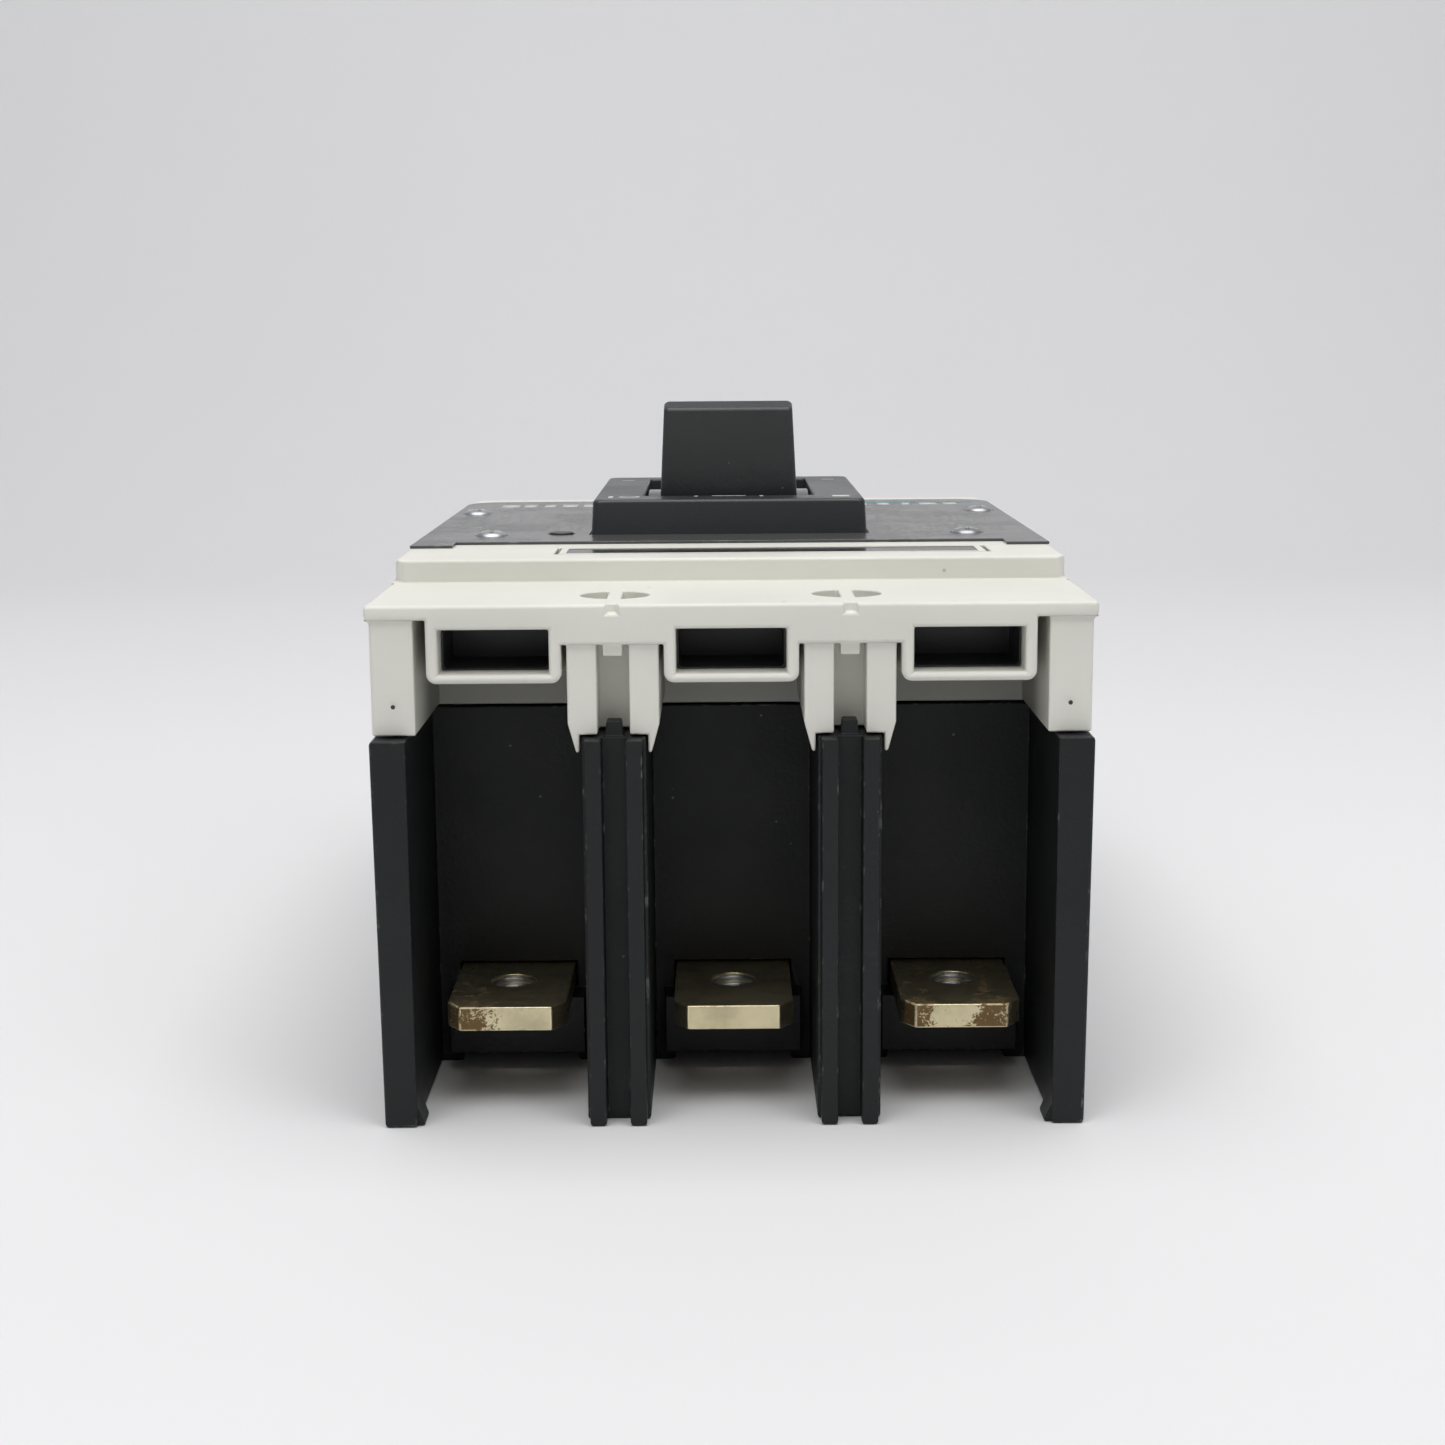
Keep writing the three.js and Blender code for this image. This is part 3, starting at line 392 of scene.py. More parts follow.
def refill_flats(mesh, band):
    """Fills each flat again from its own outline, so that a face with holes has clean triangles."""
    same_flat = math.radians(0.2)
    bm = bmesh.new()
    bm.from_mesh(mesh)
    bmesh.ops.dissolve_degenerate(bm, dist=MERGE, edges=bm.edges)
    waiting = dict.fromkeys(face for face in bm.faces if face.material_index != band)
    while waiting:
        group = [waiting.popitem()[0]]
        for face in group:
            beside = [other for edge in face.edges for other in edge.link_faces]
            for other in beside:
                if other in waiting and face.normal.angle(other.normal, math.pi) < same_flat:
                    del waiting[other]
                    group.append(other)
        if len(group) > 1 or len(group[0].verts) > 4:
            refill(bm, group)
    loose = [edge for edge in bm.edges if not edge.link_faces]
    bmesh.ops.delete(bm, geom=loose, context="EDGES")
    loose = [vert for vert in bm.verts if not vert.link_faces]
    bmesh.ops.delete(bm, geom=loose, context="VERTS")
    bm.to_mesh(mesh)
    bm.free()


def refill(bm, group):
    """Fills the outline of one flat with triangles. A fold in the outline is filled face down.

    Where two sides of the outline cross, both are split there, and the split corners are welded.
    """
    inside = set(group)
    normal = max(group, key=lambda face: face.calc_area()).normal.copy()
    turn = normal.rotation_difference(Vector((0, 0, 1))).to_matrix()
    rim = [
        (loop.vert, loop.link_loop_next.vert) for face in group for loop in face.loops
        if sum(other in inside for other in loop.edge.link_faces) == 1
    ]
    corners = list(dict.fromkeys(vert for side in rim for vert in side))
    place = {vert: k for k, vert in enumerate(corners)}
    height = (turn @ corners[0].co).z
    flat = [(turn @ vert.co).xy / MM for vert in corners]
    sides = [(place[start], place[end]) for start, end in rim]
    points, edges, tris, origins, edge_origins, _ = delaunay_2d_cdt(flat, sides, [], 0, 1e-5)
    outline = [(flat[start], flat[end]) for start, end in sides]
    bmesh.ops.delete(bm, geom=group, context="FACES_ONLY")
    verts = {k: corners[found[0]] for k, found in enumerate(origins) if found}
    crossings = {}
    for ends, found in zip(edges, edge_origins):
        for side in found:
            crossings.setdefault(side, set()).update(k for k in ends if not origins[k])
    joined = {}
    for side, found in crossings.items():
        start, end = rim[side]
        for k in sorted(found, key=lambda k: (points[k] - flat[sides[side][0]]).length):
            edge = bm.edges.get((start, end))
            _, start = bmesh.utils.edge_split(edge, start, 0.5)
            start.co = turn.inverted() @ (points[k] * MM).to_3d() + normal * height
            if k in verts:
                joined[start] = verts[k]
            verts.setdefault(k, start)
    for tri in tris:
        turns = winding(sum((points[k] for k in tri), Vector((0, 0))) / 3, outline)
        if turns:
            face = bm.faces.new([verts[k] for k in tri])
            face.normal_update()
            if face.normal.dot(normal) * turns < 0:
                face.normal_flip()
    bmesh.ops.weld_verts(bm, targetmap=joined)


def winding(spot, outline):
    """How often directed sides go round a point anticlockwise, from their crossings of a ray along x."""
    turns = 0
    for start, end in outline:
        if (start.y > spot.y) != (end.y > spot.y):
            along = (spot.y - start.y) / (end.y - start.y)
            if start.x + along * (end.x - start.x) > spot.x:
                turns += 1 if end.y > start.y else -1
    return turns


def level_normals(piece, keep_sharp=False):
    """Large faces lead the normals, so a flat stays flat beside its rounded edges."""
    level = piece.modifiers.new("level", "WEIGHTED_NORMAL")
    level.mode = "FACE_AREA"
    level.weight = 90
    level.keep_sharp = keep_sharp
    return finished(piece)


def round_edges(piece, width, weights=None):
    """Rounds the sharp edges. weights(middle of an edge, its direction) gives a share of width, or None."""
    mesh = piece.data
    sharp = math.radians(28)
    bm = bmesh.new()
    bm.from_mesh(mesh)
    bmesh.ops.remove_doubles(bm, verts=bm.verts, dist=MERGE)
    bmesh.ops.dissolve_limit(bm, angle_limit=math.radians(1), verts=bm.verts, edges=bm.edges)
    layer = bm.edges.layers.float.new("bevel_weight_edge")
    for edge in bm.edges:
        if len(edge.link_faces) != 2 or edge.calc_face_angle(0) < sharp:
            continue
        share = 1.0
        if weights:
            middle = (edge.verts[0].co + edge.verts[1].co) / 2
            share = weights(middle, (edge.verts[1].co - edge.verts[0].co).normalized())
        edge[layer] = share
    bm.to_mesh(mesh)
    bm.free()
    bevel = piece.modifiers.new("round", "BEVEL")
    bevel.limit_method = "WEIGHT"
    bevel.width = width
    bevel.segments = 2
    bevel.material = 1
    bevel.use_clamp_overlap = False
    bevel.loop_slide = False
    mesh.materials.append(mesh.materials[0])
    finished(piece)
    refill_flats(piece.data, 1)
    mark_edges(piece.data, 1)
    piece.data.materials.pop(index=1)
    return level_normals(piece)


def ride(piece, body, slot, *nodes):
    """Puts a piece on a body and in place of the CAD nodes named. The slot argument is not used."""
    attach(piece, body)
    if nodes:
        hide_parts(*nodes)
    return piece


def shell(node, name, material, width, slot, weights=None):
    """A CAD node's shape with rounded edges, standing for it."""
    piece = new_object(name, NODES[node].data.copy(), material)
    round_edges(piece, width, weights)
    return ride(piece, BODY_OF[node], slot, node)


def block(bm, lowest, highest):
    made = bmesh.ops.create_cube(bm, size=1.0)
    size = [b - a for a, b in zip(lowest, highest)]
    middle = [(a + b) / 2 for a, b in zip(lowest, highest)]
    place = Matrix.LocRotScale(Vector(middle), None, Vector(size))
    bmesh.ops.transform(bm, matrix=place, verts=made["verts"])


def band_round(bm, inner, outer, bottom, top):
    """A closed band between two outlines of as many points each, from one height to another."""
    rings = []
    for near, far in zip(inner, outer):
        corners = ((*near, bottom), (*far, bottom), (*far, top), (*near, top))
        rings.append([bm.verts.new(corner) for corner in corners])
    faces = []
    for first, second in zip(rings, rings[1:] + rings[:1]):
        for i in range(4):
            j = (i + 1) % 4
            faces.append(bm.faces.new((first[i], first[j], second[j], second[i])))
    bmesh.ops.recalc_face_normals(bm, faces=faces)


def circle(x, y, radius, steps=24):
    angles = [math.tau * k / steps for k in range(steps)]
    return [(x + radius * math.cos(angle), y + radius * math.sin(angle)) for angle in angles]


def rectangle(lowest, highest, inset=0.0):
    x0, y0 = lowest.x + inset, lowest.y + inset
    x1, y1 = highest.x - inset, highest.y - inset
    return [(x0, y0), (x1, y0), (x1, y1), (x0, y1)]


def rounded(lowest, highest, radius, steps=6):
    """A rectangle with round corners, from (x, y) to (x, y), as points in order."""
    points = []
    corners = ((1, 1), (-1, 1), (-1, -1), (1, -1))
    for quarter, (sx, sy) in enumerate(corners):
        x = (highest[0] if sx > 0 else lowest[0]) - sx * radius
        y = (highest[1] if sy > 0 else lowest[1]) - sy * radius
        for k in range(steps + 1):
            angle = math.pi / 2 * (quarter + k / steps)
            points.append((x + radius * math.cos(angle), y + radius * math.sin(angle)))
    return points


def stack(bm, loops, closed):
    """Joins outlines of equal length into a skin. It closes on itself, or is capped at both ends."""
    rings = [[bm.verts.new(point) for point in loop] for loop in loops]
    pairs = list(zip(rings, rings[1:]))
    if closed:
        pairs.append((rings[-1], rings[0]))
    else:
        bm.faces.new(rings[0])
        bm.faces.new(rings[-1])
    for low_ring, high_ring in pairs:
        for k in range(len(low_ring)):
            after = (k + 1) % len(low_ring)
            bm.faces.new((low_ring[k], low_ring[after], high_ring[after], high_ring[k]))
    bmesh.ops.recalc_face_normals(bm, faces=bm.faces)


def fillet(radius, steps=4):
    """(inset, drop) pairs of a quarter round, from the side of a solid to its top."""
    angles = [math.pi / 2 * k / steps for k in range(steps + 1)]
    return [(radius * (1 - math.cos(angle)), radius * (1 - math.sin(angle))) for angle in angles]


def smooth_piece(name, bm, material):
    """The mesh as a smooth piece. Shallow corners blend, and the edge mask marks the small bent faces."""
    least_bend, sharp, small = math.radians(8), math.radians(30), 4 * MM * MM
    mark = bm.loops.layers.float.new("edge")
    for face in bm.faces:
        face.smooth = True
        bend = max(edge.calc_face_angle(0) for edge in face.edges)
        for loop in face.loops:
            loop[mark] = 1.0 if bend > least_bend and face.calc_area() < small else 0.0
    piece = as_piece(name, bm, material)
    piece.data.set_sharp_from_angle(angle=sharp)
    return level_normals(piece, keep_sharp=True)


def as_piece(name, bm, material):
    mesh = bpy.data.meshes.new(name)
    bm.to_mesh(mesh)
    bm.free()
    return new_object(name, mesh, material)


def blocks(name, boxes, material, width=0.0):
    """Separate blocks in one piece, each given by its lowest and highest corner, with rounded edges."""
    bm = bmesh.new()
    for lowest, highest in boxes:
        block(bm, lowest, highest)
    piece = as_piece(name, bm, material)
    return round_edges(piece, width) if width else piece


def lathe(name, profile, at, material, steps=48):
    """Turns (radius, height) points, from axis to axis, round an upright axis at the place given."""
    bm = bmesh.new()
    verts = [bm.verts.new((radius, 0, height)) for radius, height in profile]
    edges = [bm.edges.new(pair) for pair in zip(verts, verts[1:])]
    bmesh.ops.spin(bm, geom=verts + edges, cent=(0, 0, 0), axis=(0, 0, 1), angle=math.tau, steps=steps)
    bmesh.ops.remove_doubles(bm, verts=bm.verts, dist=MERGE)
    bmesh.ops.recalc_face_normals(bm, faces=bm.faces)
    bmesh.ops.translate(bm, verts=bm.verts, vec=at)
    for face in bm.faces:
        face.smooth = True
    return as_piece(name, bm, material)


# ---- geometry trees ------------------------------------------------------------------------------
def geometry_tree(name, inputs):
    """A geometry node group, with inputs given as for a shader group. None is an input with no value."""
    tree = bpy.data.node_groups.new(name, "GeometryNodeTree")
    tree.interface.new_socket("Geometry", in_out="INPUT", socket_type="NodeSocketGeometry")
    for label, value in inputs.items():
        kind = LINKED_SOCKETS.get(label) or SOCKETS[type(value)]
        socket = tree.interface.new_socket(label, in_out="INPUT", socket_type=kind)
        if value is not None:
            socket.default_value = value
    tree.interface.new_socket("Geometry", in_out="OUTPUT", socket_type="NodeSocketGeometry")
    w = Wiring(tree)
    entry = w.add("NodeGroupInput")
    return tree, w, {socket.name: socket for socket in entry.outputs if socket.name}


def close_tree(w, geometry, finish):
    """Makes the copies real, gives them their material and ends the tree."""
    real = w.add("GeometryNodeRealizeInstances", {"Geometry": geometry})
    dressed = w.add("GeometryNodeSetMaterial", {"Geometry": real.outputs[0], "Material": finish})
    leave = w.add("NodeGroupOutput")
    w.feed(leave.inputs["Geometry"], dressed.outputs["Geometry"])


def grow(name, tree, material, seed_mesh=None, **values):
    """A plain mesh grown by a geometry tree with the values given."""
    piece = new_object(name, seed_mesh or bpy.data.meshes.new(name))
    modifier = piece.modifiers.new("grow", "NODES")
    modifier.node_group = tree
    values["Finish"] = material
    for item in tree.interface.items_tree:
        if item.in_out == "INPUT" and item.name in values:
            modifier[item.identifier] = values[item.name]
    finished(piece)
    for face in piece.data.polygons:
        face.use_smooth = True
    return piece


def make_coil_tree():
    """A round wire wound up the Z axis."""
    sizes = {"Turns": 8.0, "Radius": 0.002, "Height": 0.02, "Wire": 0.0003, "Sides": 8, "Finish": None}
    tree, w, given = geometry_tree("coil", sizes)
    spiral = w.add("GeometryNodeCurveSpiral", {
        "Resolution": 20, "Rotations": given["Turns"], "Start Radius": given["Radius"],
        "End Radius": given["Radius"], "Height": given["Height"],
    })
    ring = w.add("GeometryNodeCurvePrimitiveCircle", {"Resolution": given["Sides"], "Radius": given["Wire"]})
    wire = w.add("GeometryNodeCurveToMesh", {
        "Curve": spiral.outputs[0], "Profile Curve": ring.outputs[0], "Fill Caps": True,
    })
    close_tree(w, wire.outputs[0], given["Finish"])
    return tree


def make_print_tree():
    """Short bars in rows, of random length, with gaps, as lines of print too small to read."""
    sizes = {"Width": 0.03, "Depth": 0.02, "Columns": 6, "Rows": 8, "Stroke": 0.0006, "Longest": 0.004,
             "Thickness": 0.00004, "Kept": 0.8, "Seed": 3, "Finish": None}
    tree, w, given = geometry_tree("print rows", sizes)
    grid = w.add("GeometryNodeMeshGrid", {
        "Size X": given["Width"], "Size Y": given["Depth"], "Vertices X": given["Columns"],
        "Vertices Y": given["Rows"],
    })
    drop = w.add("FunctionNodeRandomValue", {"Probability": given["Kept"], "Seed": given["Seed"]},
                 data_type="BOOLEAN")
    bar = w.add("GeometryNodeMeshCube", {"Size": (1, 1, 1)})
    length = w.add("FunctionNodeRandomValue", {
        2: w.math("MULTIPLY", given["Longest"], 0.35), 3: given["Longest"], "Seed": given["Seed"],
    }, data_type="FLOAT")
    size = w.add("ShaderNodeCombineXYZ", {0: length.outputs[1], 1: given["Stroke"], 2: given["Thickness"]})
    spread = w.add("GeometryNodeInstanceOnPoints", {
        "Points": grid.outputs["Mesh"], "Selection": drop.outputs[3], "Instance": bar.outputs["Mesh"],
        "Scale": size.outputs[0],
    })
    close_tree(w, spread.outputs[0], given["Finish"])
    return tree


def make_scatter_tree():
    """Copies of a pattern on the points of a mesh, each turned at random about Z."""
    tree, w, given = geometry_tree("set out", {"Pattern": None, "Seed": 5, "Finish": None})
    pattern = w.add("GeometryNodeObjectInfo", {"Object": given["Pattern"]}, transform_space="ORIGINAL")
    turn = w.add("FunctionNodeRandomValue", {2: 0.0, 3: math.tau, "Seed": given["Seed"]}, data_type="FLOAT")
    euler = w.add("ShaderNodeCombineXYZ", {2: turn.outputs[1]})
    spread = w.add("GeometryNodeInstanceOnPoints", {
        "Points": given["Geometry"], "Instance": pattern.outputs["Geometry"], "Rotation": euler.outputs[0],
    })
    close_tree(w, spread.outputs[0], given["Finish"])
    return tree


COIL = make_coil_tree()
PRINT_ROWS = make_print_tree()
SET_OUT = make_scatter_tree()


def coil(name, foot, top, radius, turns, wire, material, sides=8):
    """A coil from one point to another."""
    run = Vector(top) - Vector(foot)
    piece = grow(name, COIL, material, Turns=float(turns), Radius=radius, Height=run.length, Wire=wire,
                 Sides=sides)
    turn = run.to_track_quat("Z", "Y").to_matrix().to_4x4()
    piece.data.transform(Matrix.Translation(foot) @ turn)
    return piece


# ---- mouldings -----------------------------------------------------------------------------------
def base_weights(middle, along):
    """Full rounding on the side walls and the foot, and less inside the compartments."""
    side_band, inner_share = 0.8 * MM, 0.45
    side = abs(abs(middle.x) - high("base").x) < side_band
    return 1.0 if side or middle.z < NEAR else inner_share


def cover_weights(middle, along):
    """Wide rounding on the raised centre's upright corners, less on outer edges, least elsewhere."""
    shoulder_share, outer_share, inner_share = 2.4, 0.9, 0.4
    shoulder_height, flange_side = 3 * MM, 53 * MM
    at_step = abs(abs(middle.y) - (HALF_LENGTH - STEP_DEPTH)) < NEAR
    if at_step and abs(along.z) > 0.9 and middle.z > COVER_TOP - shoulder_height:
        return shoulder_share
    front = abs(abs(middle.y) - high("cover").y) < NEAR
    flange = middle.z > high("base").z and abs(middle.x) > flange_side
    brow = at_step and middle.z > COVER_TOP - NEAR
    return outer_share if front or flange or brow else inner_share


def make_mouldings():
    shell("base", "base_moulding", PALETTE["black"], 0.55 * MM, "base_moulding", weights=base_weights)
    shell("cover", "cover_moulding", PALETTE["white"], 0.7 * MM, "cover_moulding", weights=cover_weights)
    shell("trip_button", "push_to_trip", PALETTE["grey"], 0.2 * MM, "grey_moulding")


def make_surround():
    """The raised frame round the handle slot: drafted sides, a filleted rim and a square throat."""
    lowest, highest = BOXES["escutcheon"]
    draft, rim, throat = 0.3 * MM, 0.7 * MM, 0.4 * MM
    outer_corner, slot_corner = 1.5 * MM, 0.8 * MM
    half, reach = 15.25 * MM, 21.85 * MM
    border = 0.2 * MM           # a narrow flat beside each fillet keeps the top's shading level
    throat_lip = 0.3 * MM       # and one below the throat's fillet does so in the slot
    loops = []

    def outer(inset, height):
        corners = (lowest.xy + Vector((inset, inset)), highest.xy - Vector((inset, inset)))
        loops.append([(x, y, height) for x, y in rounded(*corners, outer_corner)])

    def slot(spread, height):
        low_corner = (-half - spread, HANDLE_PIVOT.y - reach - spread)
        high_corner = (half + spread, HANDLE_PIVOT.y + reach + spread)
        loops.append([(x, y, height) for x, y in rounded(low_corner, high_corner, slot_corner + spread)])

    outer(0, lowest.z)
    for inset, drop in fillet(rim):
        outer(draft + inset, highest.z - drop)
    outer(draft + rim + border, highest.z)
    slot(throat + border, highest.z)
    for inset, drop in reversed(fillet(throat)):
        slot(inset, highest.z - drop)
    slot(0, highest.z - throat - throat_lip)
    slot(0, lowest.z)
    bm = bmesh.new()
    stack(bm, loops, closed=True)
    piece = smooth_piece("handle_surround", bm, PALETTE["grey"])
    ride(piece, "case", "grey_moulding", "escutcheon")


def make_grip():
    """The toggle's grip: a tapering blade with rounded corners, leaning with the handle at rest.

    Heights are from the handle's pivot, and half widths and half thicknesses from the blade's middle.
    """
    lean = Matrix.Rotation(HANDLE_LEAN, 4, "X")
    stem, foot, tip = 26.4 * MM, 33.45 * MM, 53.1 * MM
    stem_half, stem_thick, stem_corner, ledge = 5 * MM, 4 * MM, 0.5 * MM, 0.2 * MM
    base_half, tip_half = 12.85 * MM, 11.4 * MM
    base_thick, tip_thick, rim = 7.5 * MM, 2.0 * MM, 0.7 * MM
    corner, least_corner, steps = 1.1 * MM, 0.15 * MM, 8
    loops = []

    def section(half, thick, radius, height):
        points = rounded((-half, -thick), (half, thick), radius)
        loops.append([HANDLE_PIVOT + lean @ Vector((x, y, height)) for x, y in points])

    def blade(height, inset=0.0):
        along = (height - foot) / (tip - foot)
        half = base_half + (tip_half - base_half) * (height - stem) / (tip - stem) - inset
        thick = base_thick + (tip_thick - base_thick) * along - inset
        section(half, thick, max(corner - inset, least_corner), height)

    section(stem_half, stem_thick, stem_corner, stem)
    section(stem_half, stem_thick, stem_corner, foot)
    section(stem_half + ledge, stem_thick + ledge, stem_corner, foot)
    for k in range(steps + 1):
        blade(foot + (tip - rim - foot) * k / steps)
    for inset, drop in fillet(rim)[1:]:
        blade(tip - drop, inset)
    bm = bmesh.new()
    stack(bm, loops, closed=False)
    piece = smooth_piece("toggle_grip", bm, PALETTE["grey"])
    ride(piece, "handle", "grey_moulding", "handle_grip")


def make_slot_shield():
    """The arched strip behind the grip, with finer facets than the CAD strip and rounded sides."""
    lowest, highest = BOXES["slot_shield"]
    outer, inner, sweep, steps = 33.1 * MM, 31.6 * MM, math.radians(62), 72
    section = ((lowest.x, outer), (highest.x, outer), (highest.x, inner), (lowest.x, inner))
    loops = []
    for k in range(steps + 1):
        angle = HANDLE_LEAN - sweep + 2 * sweep * k / steps
        corners = [(x, -reach * math.sin(angle), reach * math.cos(angle)) for x, reach in section]
        loops.append([HANDLE_PIVOT + Vector(corner) for corner in corners])
    bm = bmesh.new()
    stack(bm, loops, closed=False)
    piece = round_edges(as_piece("slot_strip", bm, PALETTE["gloss"]), 0.25 * MM)
    ride(piece, "handle", "gloss_moulding", "slot_shield")


# ---- faceplate and its print ---------------------------------------------------------------------
def make_faceplate():
    """The dark sheet on the cover, with rows of plain bars and a plain teal band printed on it."""
    piece = new_object("printed_plate", NODES["faceplate"].data.copy(), PALETTE["plate"])
    piece.data.transform(Matrix.Translation((0, 0, -SHEET_DROP)))
    round_edges(piece, 0.15 * MM)
    ride(piece, "case", "printed_plate", "faceplate")
    near, far, ink_height, kept = SURROUND_NEAR, SURROUND_FAR, 0.03 * MM, 0.85
    # place across, place along, width, depth, columns, rows, stroke, longest bar, seed
    areas = {
        "print_front_left": (-0.0365, near + 0.0115, 0.018, 0.009, 5, 6, 0.0004, 0.0042, 11),
        "print_front_right": (0.0385, near + 0.0105, 0.018, 0.011, 6, 7, 0.0004, 0.0034, 12),
        "print_front_edge": (0.0315, near + 0.0005, 0.009, 0.005, 3, 4, 0.0004, 0.0040, 17),
        "print_left": (-0.038, near + 0.030, 0.019, 0.022, 5, 10, 0.0005, 0.0045, 13),
        "print_right": (0.038, near + 0.032, 0.017, 0.020, 5, 9, 0.0005, 0.0040, 14),
        "print_back_left": (-0.034, far + 0.0045, 0.028, 0.0001, 8, 1, 0.0060, 0.0044, 15),
        "print_back_right": (0.036, far + 0.0045, 0.018, 0.0001, 5, 1, 0.0044, 0.0038, 16),
    }
    for name, (x, y, width, depth, columns, rows, stroke, longest, seed) in areas.items():
        ink = PALETTE["print" if "back" in name else "faint"]
        marks = grow(name, PRINT_ROWS, ink, Width=width, Depth=depth, Columns=columns, Rows=rows,
                     Stroke=stroke, Longest=longest, Seed=seed, Kept=kept)
        marks.data.transform(Matrix.Translation((x, y, SHEET_TOP)))
        ride(marks, "case", "printed_plate")
    corners = ((0.025, far + 0.0072, SHEET_TOP), (0.050, far + 0.0086, SHEET_TOP + ink_height))
    ride(blocks("teal_band", [corners], PALETTE["teal"]), "case", "printed_plate")


def make_surround_marks():
    """Plain marks on the handle surround: a bar, a ring and a square, and short dashes."""
    top, lift = high("escutcheon").z - 0.01 * MM, 0.04 * MM
    near, far = SURROUND_NEAR, SURROUND_FAR
    bm = bmesh.new()
    block(bm, (-0.0213, near + 0.0045, top), (-0.0205, near + 0.0085, top + lift))
    ring = [circle(-0.0176, near + 0.0065, radius) for radius in (0.0013, 0.0019)]
    band_round(bm, *ring, top, top + lift)
    block(bm, (0.0183, near + 0.0045, top), (0.0213, near + 0.0075, top + lift))
    for side in (-1, 1):
        x = side * 0.0195
        block(bm, (x - 0.0012, far - 0.0105, top), (x + 0.0012, far - 0.0097, top + lift))
    block(bm, (-0.003, near + 0.0076, top), (0.003, near + 0.0084, top + lift))
    for side in (-1, 1):
        x = side * 0.0058
        block(bm, (x - 0.0003, near + 0.0066, top), (x + 0.0003, near + 0.0084, top + lift))
    ride(as_piece("surround_marks", bm, PALETTE["print"]), "case", "printed_plate")


# ---- window strip, screws and small marks --------------------------------------------------------
def make_window():
    """A dark pane in a thin white frame, with a narrow dark gap round the frame."""
    lowest, highest = BOXES["strip_window"]
    sill, frame_top = COVER_TOP - 0.15 * MM, COVER_TOP - 0.05 * MM
    pane = blocks("window_pane", [(lowest, (highest.x, highest.y, sill))], PALETTE["gloss"], 0.1 * MM)
    ride(pane, "case", "gloss_moulding", "strip_window")
    bm = bmesh.new()
    gap, bar = 0.45 * MM, 1.1 * MM
    outlines = [rectangle(lowest, highest, inset) for inset in (gap + bar, gap)]
    band_round(bm, *outlines, sill, frame_top)
    rim = round_edges(as_piece("window_rim", bm, PALETTE["white"]), 0.12 * MM)
    ride(rim, "case", "cover_moulding")


def make_screws():
    """Pan heads with a cross recess, set on the four screw places."""
    names = [f"cover_screw_{end}_{side}" for end in ("front", "back") for side in ("left", "right")]
    radius = (high(names[0]).x - low(names[0]).x) / 2 * 1.06
    foot, brim, dome = 0.25 * MM, 1.1 * MM, 1.1 * MM
    reach, half_slot, floor, clear = 1.75 * MM, 0.42 * MM, 1.2 * MM, 3 * MM
    profile = [(0, 0), (radius * 0.96, 0), (radius, foot), (radius, brim)]
    for angle in (math.radians(15 * k) for k in range(1, 6)):
        profile.append((radius * math.cos(angle), brim + dome * math.sin(angle)))
    profile.append((0, brim + dome))
    head = lathe("screw_head", profile, (0, 0, 0), PALETTE["steel"])
    cutter = blocks("screw_cross", [
        ((-reach, -half_slot, floor), (reach, half_slot, clear)),
        ((-half_slot, -reach, floor), (half_slot, reach, clear)),
    ], PALETTE["steel"])
    cut = head.modifiers.new("cross", "BOOLEAN")
    cut.object = cutter
    cut.use_self = True
    finished(head)
    bpy.data.objects.remove(cutter)
    round_edges(head, 0.06 * MM)
    points = bpy.data.meshes.new("cover_screws")
    seat = 2.12 * MM            # from the top of the CAD head down to the underside of this one
    places = [(centre(name).x, centre(name).y, high(name).z - seat) for name in names]
    points.from_pydata(places, [], [])
    screws = grow("cover_screws", SET_OUT, PALETTE["steel"], seed_mesh=points, Pattern=head, Seed=5)
    bpy.data.objects.remove(head)
    ride(screws, "case", "steel", *names)


def make_gate_marks():
    """A small dark pip on each front pillar of the cover, where the moulding was fed."""
    aside, height = 49.9 * MM, 64.3 * MM
    profile = [(0, 0), (0.34 * MM, 0), (0.28 * MM, 0.06 * MM), (0, 0.08 * MM)]
    for side, name in ((-1, "gate_mark_left"), (1, "gate_mark_right")):
        at = Vector((side * aside, low("cover").y, height))
        pip = lathe(name, profile, (0, 0, 0), PALETTE["grey"], steps=16)
        pip.data.transform(Matrix.Translation(at) @ Matrix.Rotation(math.radians(90), 4, "X"))
        ride(pip, "case", "cover_moulding")


def make_tunnel_shade():
    """Thin dark grey cups in the six cable tunnels under the flanges, closing them at the back: painted shade that
    makes the tunnels read dark.
    """
    half_width, bottom, top, corner = 8.15 * MM, 69 * MM, 75.6 * MM, 0.6 * MM
    mouth, back, inner_back = 6.8 * MM, 19.5 * MM, 19.0 * MM
    outside, inside = 0.08 * MM, 0.3 * MM
    cup = ((back, outside), (mouth, outside), (mouth, inside), (inner_back, inside))
    bm = bmesh.new()
    for pole in POLES:
        middle = centre(f"load_terminal_{pole}").x
        for side in (-1, 1):
            loops = []
            for depth, inset in cup:
                y = side * (HALF_LENGTH - depth)
                half = half_width - inset
                ends = ((middle - half, bottom + inset), (middle + half, top - inset))
                loops.append([(x, y, z) for x, z in rounded(*ends, corner, steps=3)])
            stack(bm, loops, closed=False)
    ride(as_piece("tunnel_linings", bm, PALETTE["grey"]), "case", "base_moulding")


